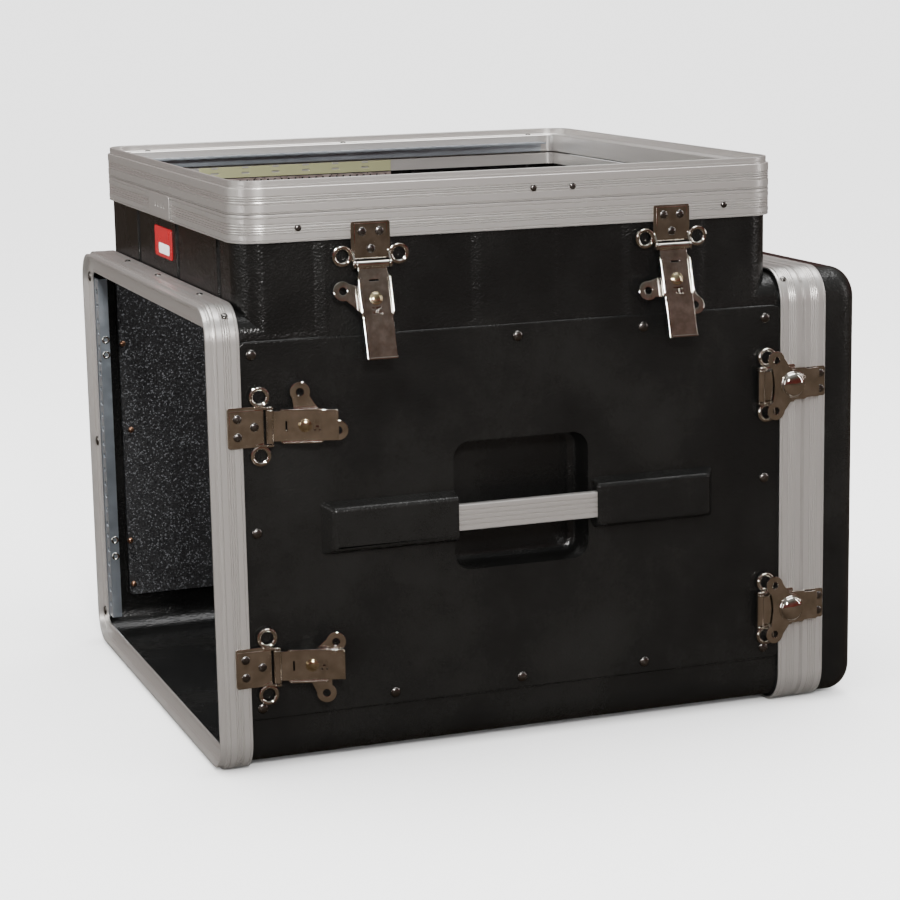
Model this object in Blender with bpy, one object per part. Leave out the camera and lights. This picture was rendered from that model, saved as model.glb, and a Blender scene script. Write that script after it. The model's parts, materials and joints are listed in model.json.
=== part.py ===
"""Moulded rack case with a front rack bay, a pop-up top mixer frame and a lift-off rear lid.

Frame: +X across the rack width, the front rack opening faces -Y, the rear lid is at +Y, +Z is up.
The origin is the centre of the footprint, on the floor. All lengths are in metres.
"""

import math

import bmesh
import bpy
from mathutils import Matrix, Vector

# Driving dimensions of the case
CASE_WIDTH = 0.530          # over the aluminium frames
CASE_DEPTH = 0.650          # front tongue to the rear of the lid
LOWER_HEIGHT = 0.4295       # front and rear frames
SEAM_HEIGHT = 0.508         # joint between body and mixer frame
FRAME_TOP = 0.5313          # shoulder of the mixer frame
TOP_START = 0.0283          # mixer frame, measured back from the front tongue
TOP_LENGTH = 0.5317
REAR_SEAM = 0.587           # joint between body and rear lid, from the front tongue

# Aluminium extrusion
LEG_WALL = 0.002
LEG_LENGTH = 0.024
FLANGE_WIDTH = 0.022
TONGUE_HEIGHT = 0.0064
TONGUE_OUTER = 0.0024
TONGUE_INNER = 0.0050
LOWER_CORNER = 0.032
TOP_CORNER = 0.030
MIXER_LEG = 0.0233
FRONT_RIVETS = (-0.126, 0.006, 0.169)
ARC_STEPS = 5

# Moulded shell
FIT = 0.0003                # gap between pieces that touch
SHELL_WALL = 0.0045
PANEL_TOP = 0.397
PANEL_BOTTOM = 0.0495
PANEL_PROUD = 0.0025
PAD_LENGTH = 0.079
PAD_PITCH = 0.149
PAD_PROUD = 0.0020
UPPER_INSET = 0.0033
GROOVE_XS = (-0.120, 0.043, 0.196)
GROOVE_WIDTH = 0.013
GROOVE_DEPTH = 0.003

# Handle
HANDLE_CENTRE = 0.296       # from the front tongue
HANDLE_HEIGHT = 0.222
BAR_SPAN = 0.139
BAR_SOCKET = 0.009
BAR_TALL = 0.027
BAR_THICK = 0.006
POD_LENGTH = 0.1255
POD_TALL = 0.040
POD_PROUD = 0.013
RECESS_LENGTH = 0.134
RECESS_TALL = 0.121
RECESS_RISE = 0.0085         # middle of the recess above the middle of the handle
RECESS_DEPTH = 0.032

# Rear lid
LID_EDGE = 0.022
LID_WEB = 0.008

# Draw latch, in its own axes: x towards the lid when closed, y sideways, z away from the wall
HINGE_LIFT = 0.0055
HINGE_TO_SEAM = 0.0476
TOP_HINGE_DROP = 0.0713     # the top latches reach over the mixer frame, to the top lid
BASE_END = 0.038
BASE_HALF = 0.0185
BASE_TOP = -0.0027
BASE_BOTTOM = -0.0052
EAR_SIDE = 0.0265
EAR_ALONG = 0.008
EAR_RADIUS = 0.0095
EAR_HOLE = 0.0058
ARM_HALF = 0.0155
ARM_LENGTH = 0.061
TOP_ARM_LENGTH = 0.086
ARM_BOTTOM = 0.0006
ARM_TOP = 0.0022
BARREL_RADIUS = 0.0036
PIVOT_ALONG = 0.031
WING_BOTTOM = 0.0040
WING_TOP = 0.0056
LOBE_REACH = 0.030
LOBE_ANGLE = 126.0
LOBE_RADIUS = 0.009
LOBE_HOLE = 0.0035
CAP_RADIUS = 0.0128
CAP_HEIGHT = 0.0062
OPEN_ANGLE = 163.0
LATCH_HEIGHTS = (("lower", 0.1007), ("upper", 0.321))
TOP_LATCHES = (("front", 0.153), ("rear", 0.447))
FRONT_WINGS = (191.5, 137.0)
TOP_WINGS = (233.0, 199.0)

HALF_WIDTH = CASE_WIDTH / 2
FRONT_Y = -CASE_DEPTH / 2
SHELL_HALF = HALF_WIDTH - LEG_WALL - FIT

COLLECTION = "rack_case"
CUTTERS = "cutters"


def back(distance):
    """Y of a point given by its distance behind the front tongue."""
    return FRONT_Y + distance


# ---------------------------------------------------------------- scene helpers

def clear_scene():
    for obj in list(bpy.data.objects):
        bpy.data.objects.remove(obj, do_unlink=True)
    for name in (COLLECTION, CUTTERS):
        if name not in bpy.data.collections:
            bpy.context.scene.collection.children.link(bpy.data.collections.new(name))


def make_material(name, colour, roughness, metallic=0.0):
    mat = bpy.data.materials.new(name)
    mat.use_nodes = True
    shader = mat.node_tree.nodes["Principled BSDF"]
    shader.inputs["Base Color"].default_value = (*colour, 1.0)
    shader.inputs["Roughness"].default_value = roughness
    shader.inputs["Metallic"].default_value = metallic
    return mat


def link(name, data, mat=None, collection=COLLECTION, matrix=None):
    obj = bpy.data.objects.new(name, data)
    bpy.data.collections[collection].objects.link(obj)
    if mat:
        data.materials.clear()
        data.materials.append(mat)
    if matrix is not None:
        obj.matrix_world = matrix
    return obj


def mesh_of(bm, name):
    bmesh.ops.recalc_face_normals(bm, faces=bm.faces)
    mesh = bpy.data.meshes.new(name)
    bm.to_mesh(mesh)
    bm.free()
    return mesh


def as_guide(obj):
    obj.hide_render = True
    obj.display_type = "WIRE"
    return obj


def boolean(obj, other, operation="DIFFERENCE"):
    mod = obj.modifiers.new(operation.lower(), "BOOLEAN")
    mod.operation = operation
    mod.object = other


def baked(obj):
    """Mesh of an object with its modifiers, after which the object is removed."""
    graph = bpy.context.evaluated_depsgraph_get()
    mesh = bpy.data.meshes.new_from_object(obj.evaluated_get(graph))
    mesh.transform(obj.matrix_world)
    bpy.data.objects.remove(obj, do_unlink=True)
    return mesh


def joined(obj, steps):
    """Mesh left by a list of (operation, other object) steps, after which the objects are removed."""
    for operation, other in steps:
        boolean(obj, other, operation)
    mesh = baked(obj)
    for _, other in steps:
        bpy.data.objects.remove(other, do_unlink=True)
    return mesh


# ---------------------------------------------------------------- primitive shapes

def box_bmesh(low, high, radius=0.0, along=None, steps=4):
    """Box between two corners, with the edges that run along an axis (or all of them) rounded."""
    low, high = Vector(low), Vector(high)
    size = high - low
    bm = bmesh.new()
    bmesh.ops.create_cube(bm, size=1.0)
    bmesh.ops.scale(bm, vec=size, verts=bm.verts)
    bmesh.ops.translate(bm, vec=(low + high) / 2, verts=bm.verts)
    if radius:
        edges = [e for e in bm.edges if along is None or runs_along(e, along)]
        bmesh.ops.bevel(bm, geom=edges, offset=radius, segments=steps, profile=0.5, affect="EDGES")
    return bm


def runs_along(edge, axis):
    span = edge.verts[1].co - edge.verts[0].co
    return abs(abs(span[axis]) - span.length) < 1e-6


def box_mesh(name, low, high, radius=0.0, along=None, steps=4):
    return mesh_of(box_bmesh(low, high, radius, along, steps), name)


def mirrored_corners(side, near, far, y0, y1, z0, z1):
    """Low and high corners of a box between two distances from the middle, on side +1 or -1."""
    xs = sorted((side * near, side * far))
    return (xs[0], y0, z0), (xs[1], y1, z1)


def disc_bmesh(radius, low, high, segments, top_radius=None):
    bm = bmesh.new()
    bmesh.ops.create_cone(bm, cap_ends=True, segments=segments, radius1=radius,
                          radius2=radius if top_radius is None else top_radius,
                          depth=high - low, matrix=Matrix.Translation((0, 0, (low + high) / 2)))
    return bm


def cutter(name, mesh, matrix=None):
    return as_guide(link(name, mesh, collection=CUTTERS, matrix=matrix))


def head_mesh(radius, height, segments=8):
    """Low head of a set rivet or driven screw, sunk a little into the piece that it stands on."""
    return mesh_of(disc_bmesh(radius, -0.0008, height, segments, radius * 0.55), "head")


def on_face(x, y, z, outward):
    """Matrix that stands a head at a point with its axis along the outward direction."""
    turn = Vector((0, 0, 1)).rotation_difference(Vector(outward))
    return Matrix.Translation((x, y, z)) @ turn.to_matrix().to_4x4()


def set_heads(obj, name, head, matrices):
    """Joins one head for each matrix (in world space) to the piece they are set in."""
    bm = bmesh.new()
    for matrix in matrices:
        start = len(bm.verts)
        bm.from_mesh(head)
        bm.verts.ensure_lookup_table()
        bmesh.ops.transform(bm, matrix=matrix, verts=bm.verts[start:])
    boolean(obj, cutter(name, mesh_of(bm, name)), "UNION")


# ---------------------------------------------------------------- aluminium frames

def rounded_path(name, width, height, radius):
    """Closed rounded rectangle in the XY plane, as a guide for a swept section."""
    curve = bpy.data.curves.new(name, "CURVE")
    curve.dimensions = "2D"
    points = []
    for quarter in range(4):
        turn = quarter * math.pi / 2
        sx = 1 if quarter in (0, 3) else -1
        sy = 1 if quarter in (0, 1) else -1
        centre = (sx * (width / 2 - radius), sy * (height / 2 - radius))
        for step in range(ARC_STEPS + 1):
            angle = turn + step / ARC_STEPS * math.pi / 2
            points.append((centre[0] + radius * math.cos(angle), centre[1] + radius * math.sin(angle)))
    spline = curve.splines.new("POLY")
    spline.points.add(len(points) - 1)
    for point, (x, y) in zip(spline.points, points):
        point.co = (x, y, 0, 1)
    spline.use_cyclic_u = True
    return curve


def section(name, outline):
    """Closed section of an extrusion: x runs inwards from the outer face, y along the opening."""
    curve = bpy.data.curves.new(name, "CURVE")
    curve.dimensions = "2D"
    spline = curve.splines.new("POLY")
    spline.points.add(len(outline) - 1)
    for point, (inward, outward) in zip(spline.points, outline):
        point.co = (inward, outward, 0, 1)
    spline.use_cyclic_u = True
    return as_guide(link(name, curve, collection=CUTTERS))


def swept_frame(name, outline, width, height, radius, matrix, mat):
    """Extrusion bent round a rounded rectangle; its outward direction is the matrix's +Z."""
    path = rounded_path(name, width, height, radius)
    path.bevel_mode = "OBJECT"
    path.bevel_object = section(name + "_section", outline)
    guide = link(name + "_path", path, collection=CUTTERS)
    mesh = baked(guide)
    bm = bmesh.new()
    bm.from_mesh(mesh)
    bmesh.ops.remove_doubles(bm, verts=bm.verts, dist=1e-6)
    return link(name, mesh_of(bm, name), mat, matrix=matrix)


def tongue_section(leg=LEG_LENGTH, inner_drop=0.0):
    """Leg, inward flange and tongue; an inner leg hangs from the flange when it is asked for."""
    outline = [(0, 0), (0, -leg), (LEG_WALL, -leg), (LEG_WALL, -LEG_WALL)]
    if inner_drop:
        outline += [(FLANGE_WIDTH - LEG_WALL, -LEG_WALL), (FLANGE_WIDTH - LEG_WALL, -inner_drop),
                    (FLANGE_WIDTH, -inner_drop)]
    else:
        outline += [(FLANGE_WIDTH, -LEG_WALL)]
    return outline + [(FLANGE_WIDTH, 0), (TONGUE_INNER, 0), (TONGUE_INNER, TONGUE_HEIGHT),
                      (TONGUE_OUTER, TONGUE_HEIGHT), (TONGUE_OUTER, 0)]


def lid_section():
    """Leg with an inward web that closes the groove and carries the lid's edge."""
    web_end = LID_WEB + LEG_WALL
    return [(0, 0), (LEG_WALL, 0), (LEG_WALL, LID_WEB), (LID_WEB, LID_WEB), (LID_WEB, web_end),
            (LEG_WALL, web_end), (LEG_WALL, LEG_LENGTH), (0, LEG_LENGTH)]


def top_body_section():
    """Leg, web over the shell's rim and a short inner leg that meets the mixer frame's."""
    inner = FLANGE_WIDTH - LEG_WALL
    return [(0, 0), (0, -0.025), (LEG_WALL, -0.025), (LEG_WALL, -0.0045), (inner, -0.0045),
            (inner, -0.0085), (FLANGE_WIDTH, -0.0085), (FLANGE_WIDTH, 0.0037), (inner, 0.0037),
            (inner, -0.0025), (LEG_WALL, -0.0025), (LEG_WALL, 0)]


def upright_frame(facing, at):
    """Matrix of a frame that stands in the XZ plane and faces -Y (facing -1) or +Y (facing +1)."""
    turn = Matrix.Rotation(math.radians(-90 * facing), 4, "X")
    return Matrix.Translation((0, back(at), LOWER_HEIGHT / 2)) @ turn


def build_frames(aluminium):
    size = (CASE_WIDTH, LOWER_HEIGHT, LOWER_CORNER)
    front = swept_frame("front_valance", tongue_section(), *size, upright_frame(-1, TONGUE_HEIGHT), aluminium)
    rear = swept_frame("rear_body_valance", tongue_section(), *size, upright_frame(1, REAR_SEAM - FIT),
                       aluminium)
    swept_frame("rear_lid_valance", lid_section(), *size, upright_frame(1, REAR_SEAM), aluminium)
    size = (CASE_WIDTH, TOP_LENGTH, TOP_CORNER)
    middle = back(TOP_START + TOP_LENGTH / 2)
    lower = swept_frame("top_body_valance", top_body_section(), *size,
                        Matrix.Translation((0, middle, SEAM_HEIGHT - FIT)), aluminium)
    mixer = swept_frame("mixer_frame_valance", tongue_section(MIXER_LEG, 0.0183), *size,
                        Matrix.Translation((0, middle, FRAME_TOP)), aluminium)

    rivet, screw = head_mesh(0.0032, 0.0014), head_mesh(0.0058, 0.0022, 10)
    set_heads(front, "front_rivets", rivet,
              [on_face(x, back(0.020), LOWER_HEIGHT, (0, 0, 1)) for x in FRONT_RIVETS])
    set_heads(front, "flange_screws", screw,
              [on_face(side * (HALF_WIDTH - 0.0125), back(TONGUE_HEIGHT), z, (0, -1, 0))
               for side in (-1, 1) for z in (0.032, 0.222, 0.401)])
    set_heads(rear, "rear_rivets", rivet,
              [on_face(x, back(0.5705), LOWER_HEIGHT, (0, 0, 1)) for x in FRONT_RIVETS])
    set_heads(lower, "lower_rivets", rivet,
              [on_face(side * HALF_WIDTH, back(d), 0.495, (side, 0, 0)) for side in (-1, 1) for d in (0.087, 0.502)])
    heads = [on_face(side * (HALF_WIDTH - 0.0125), back(d), FRAME_TOP, (0, 0, 1))
             for side in (-1, 1) for d in (0.075, 0.294, 0.513)]
    heads += [on_face(side * HALF_WIDTH, back(d), FRAME_TOP - 0.0116, (side, 0, 0))
              for side in (-1, 1) for d in (0.3106, 0.349)]
    set_heads(mixer, "mixer_rivets", rivet, heads)
    ride_on_hinge(mixer)


def ride_on_hinge(obj):
    """Parents an object that moves with the mixer frame to the empty on the frame's hinge line."""
    hinge = bpy.data.objects.get("mixer_frame_hinge")
    if hinge is None:
        hinge = bpy.data.objects.new("mixer_frame_hinge", None)
        bpy.data.collections[COLLECTION].objects.link(hinge)
        hinge.location = (0, back(TOP_START), SEAM_HEIGHT)
    obj.parent = hinge
    obj.matrix_parent_inverse = Matrix.Translation(hinge.location).inverted()


# ---------------------------------------------------------------- moulded shell

def tube(name, inset, z_low, y0, y1):
    """Lower body as a rounded tube along Y, inset from the frame's inner face."""
    half = SHELL_HALF - inset
    floor = LEG_WALL + FIT + z_low
    top = LOWER_HEIGHT - LEG_WALL - FIT - z_low
    radius = LOWER_CORNER - LEG_WALL - inset
    return box_mesh(name, (-half, y0, floor), (half, y1, top), radius, along=1, steps=5)


def build_shell(plastic):
    start = back(TONGUE_HEIGHT + LEG_WALL + FIT)
    end = back(REAR_SEAM - LEG_WALL - 2 * FIT)
    leg_front = back(TONGUE_HEIGHT + LEG_LENGTH)
    leg_rear = back(REAR_SEAM - LEG_LENGTH)
    shell = link("body_shell", tube("body_shell", PANEL_PROUD, 0.001, start + 0.001, end - 0.001), plastic)

    # Collars that slide into the two upright frames
    for name, y0, y1 in (("front_collar", start, leg_front), ("rear_collar", leg_rear, end)):
        boolean(shell, cutter(name, tube(name, 0.0, 0.0, y0, y1)), "UNION")

    # Upper section, its raised pads, and the raised side panels with the handle pods
    top_front = back(TOP_START + LEG_WALL + FIT + UPPER_INSET - LEG_WALL)
    top_rear = back(TOP_START + TOP_LENGTH - LEG_WALL - FIT - UPPER_INSET + LEG_WALL)
    upper_half = HALF_WIDTH - LEG_WALL - UPPER_INSET
    rim = SEAM_HEIGHT - 0.0045 - FIT
    radius = TOP_CORNER - UPPER_INSET
    upper = box_mesh("upper_section", (-upper_half, top_front, 0.30), (upper_half, top_rear, rim),
                     radius, along=2, steps=5)
    boolean(shell, cutter("upper_section", upper), "UNION")
    for side in (-1, 1):
        tag = "right" if side > 0 else "left"
        low, high = mirrored_corners(side, 0.24, SHELL_HALF, leg_front - 0.004, leg_rear + 0.004,
                                     PANEL_BOTTOM, PANEL_TOP)
        boolean(shell, cutter("panel_" + tag, box_mesh("panel", low, high, 0.0025, steps=2)), "UNION")
        for pad in (-1, 0, 1):
            middle = back(TOP_START + TOP_LENGTH / 2) + pad * PAD_PITCH
            low, high = mirrored_corners(side, 0.24, upper_half + PAD_PROUD, middle - PAD_LENGTH / 2,
                                         middle + PAD_LENGTH / 2, 0.35, rim - 0.0005)
            name = "pad_%s_%d" % (tag, pad)
            boolean(shell, cutter(name, box_mesh(name, low, high, 0.002, steps=1)), "UNION")
        for end_sign in (-1, 1):
            inner = back(HANDLE_CENTRE) + end_sign * BAR_SPAN / 2
            outer = inner + end_sign * POD_LENGTH
            low, high = mirrored_corners(side, 0.24, SHELL_HALF + POD_PROUD, min(inner, outer),
                                         max(inner, outer), HANDLE_HEIGHT - POD_TALL / 2,
                                         HANDLE_HEIGHT + POD_TALL / 2)
            name = "pod_%s_%d" % (tag, end_sign)
            boolean(shell, cutter(name, box_mesh(name, low, high, 0.006, steps=2)), "UNION")

    # Cavity: right through from front to rear, and up through the top
    inner_half = SHELL_HALF - PANEL_PROUD - SHELL_WALL + 0.001
    floor = LEG_WALL + FIT + SHELL_WALL
    cavity = box_mesh("cavity", (-inner_half, back(-0.05), floor),
                      (inner_half, back(REAR_SEAM + 0.05), LOWER_HEIGHT - floor), 0.026, along=1, steps=4)
    boolean(shell, cutter("cavity", cavity))
    upper_inner = upper_half - SHELL_WALL
    well = box_mesh("well", (-upper_inner, top_front + SHELL_WALL, 0.20),
                    (upper_inner, top_rear - SHELL_WALL, 0.60), radius - SHELL_WALL, along=2, steps=4)
    boolean(shell, cutter("well", well))

    # Hand recesses, with their own walls inside the case, and the bar sockets
    for side in (-1, 1):
        tag = "right" if side > 0 else "left"
        half_l, half_t = RECESS_LENGTH / 2, RECESS_TALL / 2
        y0, y1 = back(HANDLE_CENTRE) - half_l, back(HANDLE_CENTRE) + half_l
        z0, z1 = HANDLE_HEIGHT + RECESS_RISE - half_t, HANDLE_HEIGHT + RECESS_RISE + half_t
        wall = 0.0035
        low, high = mirrored_corners(side, SHELL_HALF - RECESS_DEPTH - wall, SHELL_HALF - 0.003,
                                     y0 - wall, y1 + wall, z0 - wall, z1 + wall)
        boolean(shell, cutter("dish_" + tag, box_mesh("dish", low, high, 0.014, along=0, steps=3)), "UNION")
        low, high = mirrored_corners(side, SHELL_HALF - RECESS_DEPTH, SHELL_HALF + 0.05, y0, y1, z0, z1)
        boolean(shell, cutter("hand_" + tag, box_mesh("hand", low, high, 0.011, along=0, steps=3)))
        low, high = bar_corners(side, FIT)
        boolean(shell, cutter("socket_" + tag, box_mesh("socket", low, high)))

    # Grooves and badge seat in the front end wall
    for index, x in enumerate(GROOVE_XS):
        low = (x - GROOVE_WIDTH / 2, top_front - 0.02, LOWER_HEIGHT - 0.004)
        high = (x + GROOVE_WIDTH / 2, top_front + GROOVE_DEPTH, SEAM_HEIGHT - 0.012)
        boolean(shell, cutter("groove_%d" % index, box_mesh("groove", low, high)))
    low, high = badge_corners(0.0)
    boolean(shell, cutter("badge_seat", box_mesh("badge_seat", low, high)))

    # Rivets that hold the inner side panels
    places = [(d, z) for d in (0.041, 0.168, 0.294, 0.420, 0.547) for z in (0.061, 0.385)]
    places += [(0.041, 0.2235), (0.547, 0.230)]
    set_heads(shell, "panel_rivets", head_mesh(0.0050, 0.0022),
              [on_face(side * SHELL_HALF, back(d), z, (side, 0, 0)) for side in (-1, 1) for d, z in places])


def bar_corners(side, gap):
    half = BAR_SPAN / 2 + BAR_SOCKET + gap
    face = SHELL_HALF + POD_PROUD - 0.002
    return mirrored_corners(side, face - BAR_THICK - gap, face + gap, back(HANDLE_CENTRE) - half,
                            back(HANDLE_CENTRE) + half, HANDLE_HEIGHT - BAR_TALL / 2 - gap,
                            HANDLE_HEIGHT + BAR_TALL / 2 + gap)


def badge_corners(gap):
    """Seat in the end wall (gap 0), or the plate that lies in it."""
    wall = back(TOP_START + FIT + UPPER_INSET)
    low = (-0.048 + gap, wall + gap - 0.0012 * (gap > 0), 0.437 + gap)
    high = (0.022 - gap, wall + 0.0025 - gap, 0.474 - gap)
    if not gap:
        low = (low[0], wall - 0.02, low[2])
    return low, high


def build_handles(aluminium):
    for side, tag in ((-1, "left"), (1, "right")):
        low, high = bar_corners(side, 0.0)
        link("handle_bar_" + tag, box_mesh("handle_bar_" + tag, low, high), aluminium)


# ---------------------------------------------------------------- inside the case

def build_side_panels(plywood):
    inner_wall = SHELL_HALF - PANEL_PROUD - SHELL_WALL + 0.001
    for side, tag in ((-1, "left"), (1, "right")):
        name = "side_panel_" + tag
        low, high = mirrored_corners(side, inner_wall - FIT - 0.006, inner_wall - FIT, back(0.034),
                                     back(0.560), 0.047, 0.398)
        panel = link(name, box_mesh(name, low, high), plywood)
        half_l, half_t = RECESS_LENGTH / 2 + 0.006, RECESS_TALL / 2 + 0.006
        low, high = mirrored_corners(side, 0.20, 0.30, back(HANDLE_CENTRE) - half_l,
                                     back(HANDLE_CENTRE) + half_l, HANDLE_HEIGHT + RECESS_RISE - half_t,
                                     HANDLE_HEIGHT + RECESS_RISE + half_t)
        boolean(panel, cutter(name + "_window", box_mesh("window", low, high)))


def angle_mesh(name, low, high, leg_low, leg_high):
    """Two plates of an angle section that overlap at the corner, joined by a union."""
    obj = link(name + "_plate", box_mesh(name, low, high), collection=CUTTERS)
    parts = [("UNION", cutter(name + "_leg", box_mesh(name + "_leg", leg_low, leg_high)))]
    return joined(obj, parts)


def build_rails(zinc, passivated):
    thick = 0.002
    face = back(TONGUE_HEIGHT + LEG_WALL + FIT)
    opening = HALF_WIDTH - FLANGE_WIDTH
    for side, tag in ((-1, "left"), (1, "right")):
        name = "front_rail_" + tag
        low, high = mirrored_corners(side, opening - 0.018, opening + 0.008, face, face + thick, 0.030, 0.400)
        leg = mirrored_corners(side, opening - 0.018, opening - 0.018 + thick, face, face + 0.010, 0.030, 0.400)
        link(name, angle_mesh(name, low, high, *leg), zinc)

        name = "mixer_rail_" + tag
        ends = (back(TOP_START + 0.036), back(TOP_START + TOP_LENGTH - 0.036))
        low, high = mirrored_corners(side, opening - 0.018, opening - FIT, *ends, 0.5225, 0.5240)
        leg = mirrored_corners(side, opening - FIT - 0.0015, opening - FIT, *ends, 0.5135, 0.5240)
        ride_on_hinge(link(name, angle_mesh(name, low, high, *leg), zinc))

        name = "slot_strip_" + tag
        low, high = mirrored_corners(side, opening - 0.0018, opening - FIT, back(0.128), back(0.345),
                                     0.4995, 0.5112)
        link(name, box_mesh(name, low, high), passivated)


# ---------------------------------------------------------------- rear lid

def build_lid(plastic):
    front = back(REAR_SEAM + LID_WEB + LEG_WALL + FIT)
    rear = back(CASE_DEPTH)
    low, high = LEG_WALL + FIT, LOWER_HEIGHT - LEG_WALL - FIT
    outer = lid_body("rear_lid_shell", SHELL_HALF, low, high, front - 0.05, rear, LOWER_CORNER - LEG_WALL,
                     LID_EDGE)
    shell = link("rear_lid_shell", outer, plastic)
    inner = lid_body("lid_hollow", SHELL_HALF - SHELL_WALL, low + SHELL_WALL, high - SHELL_WALL,
                     front - 0.06, rear - SHELL_WALL, LOWER_CORNER - LEG_WALL - SHELL_WALL,
                     LID_EDGE - SHELL_WALL)
    boolean(shell, cutter("lid_hollow", inner))
    trim = box_mesh("lid_trim", (-0.4, front - 0.1, -0.1), (0.4, front, 0.6))
    boolean(shell, cutter("lid_trim", trim))


def lid_body(name, half, z0, z1, y0, y1, corner, edge):
    """Rounded box along Y whose rear perimeter is rounded as well."""
    bm = box_bmesh((-half, y0, z0), (half, y1, z1), corner, along=1, steps=5)
    rim = [e for e in bm.edges if all(abs(v.co.y - y1) < 1e-6 for v in e.verts)]
    bmesh.ops.bevel(bm, geom=rim, offset=edge, segments=3, profile=0.5, affect="EDGES")
    return mesh_of(bm, name)


# ---------------------------------------------------------------- latches

def latch_frame(origin, pull, outward):
    """Matrix with x along the pull, z outwards from the wall and y across."""
    x, z = Vector(pull), Vector(outward)
    y = z.cross(x)
    matrix = Matrix((x, y, z)).transposed().to_4x4()
    matrix.translation = Vector(origin)
    return matrix


def latch_places():
    """Every latch as (tag, frame, arm length, opened angle, wing turn)."""
    places = []
    for side, tag in ((-1, "left"), (1, "right")):
        outward = (side, 0, 0)
        x = side * (HALF_WIDTH + HINGE_LIFT)
        y = back(TONGUE_HEIGHT + HINGE_TO_SEAM)
        for (level, z), turn in zip(LATCH_HEIGHTS, FRONT_WINGS):
            frame = latch_frame((x, y, z), (0, -1, 0), outward)
            places.append(("front_%s_%s" % (level, tag), frame, ARM_LENGTH, OPEN_ANGLE, side * turn))
        y = back(REAR_SEAM - HINGE_TO_SEAM)
        for level, z in LATCH_HEIGHTS:
            frame = latch_frame((x, y, z), (0, 1, 0), outward)
            places.append(("rear_%s_%s" % (level, tag), frame, ARM_LENGTH, 0.0, 0.0))
        z = FRAME_TOP - TOP_HINGE_DROP
        for (end, distance), turn in zip(TOP_LATCHES, TOP_WINGS):
            frame = latch_frame((x, back(distance), z), (0, 0, 1), outward)
            places.append(("top_%s_%s" % (end, tag), frame, TOP_ARM_LENGTH, OPEN_ANGLE, side * turn))
    return places


def base_mesh(rivet):
    """Riveted plate with two cheeks that hold the arm's barrel and two eyelet ears."""
    plate = link("base", box_mesh("base", (0.0046, -BASE_HALF, BASE_BOTTOM), (BASE_END, BASE_HALF, BASE_TOP)),
                 collection=CUTTERS)
    cuts = []
    for sign in (-1, 1):
        ys = sorted((sign * 0.0159, sign * 0.0177))
        cheek = box_mesh("cheek", (-0.0036, ys[0], BASE_BOTTOM), (0.0120, ys[1], 0.0012))
        cuts.append(("UNION", cutter("cheek", cheek)))
        knuckle = mesh_of(disc_bmesh(0.0037, 0.0159, 0.0177, 8), "knuckle")
        turn = Matrix.Rotation(math.radians(-90 * sign), 4, "X")
        cuts.append(("UNION", cutter("knuckle", knuckle, turn)))
        ear = mesh_of(disc_bmesh(EAR_RADIUS, BASE_BOTTOM, -0.0024, 12), "ear")
        cuts.append(("UNION", cutter("ear", ear, Matrix.Translation((EAR_ALONG, sign * EAR_SIDE, 0)))))
        hole = mesh_of(disc_bmesh(EAR_HOLE, BASE_BOTTOM - 0.01, 0.01, 8), "ear_hole")
        cuts.append(("DIFFERENCE", cutter("ear_hole", hole, Matrix.Translation((EAR_ALONG, sign * EAR_SIDE, 0)))))
    for x, y in ((0.0290, -0.0082), (0.0290, 0.0082), (0.0135, 0.0)):
        cuts.append(("UNION", cutter("base_rivet", rivet, Matrix.Translation((x, y, BASE_TOP)))))
    return joined(plate, cuts)


def arm_mesh(length):
    """Barrel, flanged plate and turned-down hook, with the pivot boss underneath."""
    plate = link("arm", box_mesh("arm", (0.002, -ARM_HALF, ARM_BOTTOM), (length, ARM_HALF, ARM_TOP)),
                 collection=CUTTERS)
    barrel = mesh_of(disc_bmesh(BARREL_RADIUS, -ARM_HALF, ARM_HALF, 12), "barrel")
    cuts = [("UNION", cutter("barrel", barrel, Matrix.Rotation(math.radians(90), 4, "X")))]
    for sign in (-1, 1):
        ys = sorted((sign * (ARM_HALF - 0.0014), sign * ARM_HALF))
        flange = box_mesh("flange", (0.010, ys[0] - 1e-5, -0.0022), (0.046, ys[1] + 1e-5, ARM_TOP - 1e-4))
        cuts.append(("UNION", cutter("flange", flange)))
    hook = box_mesh("hook", (length - 0.0016, -0.0135, -0.0031), (length + 1e-4, 0.0135, ARM_TOP - 1e-4))
    cuts.append(("UNION", cutter("hook", hook)))
    boss = mesh_of(disc_bmesh(0.0055, -0.0005, ARM_TOP - 0.0003, 12), "boss")
    cuts.append(("UNION", cutter("boss", boss, Matrix.Translation((PIVOT_ALONG, 0, 0)))))
    return joined(plate, cuts)


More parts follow.
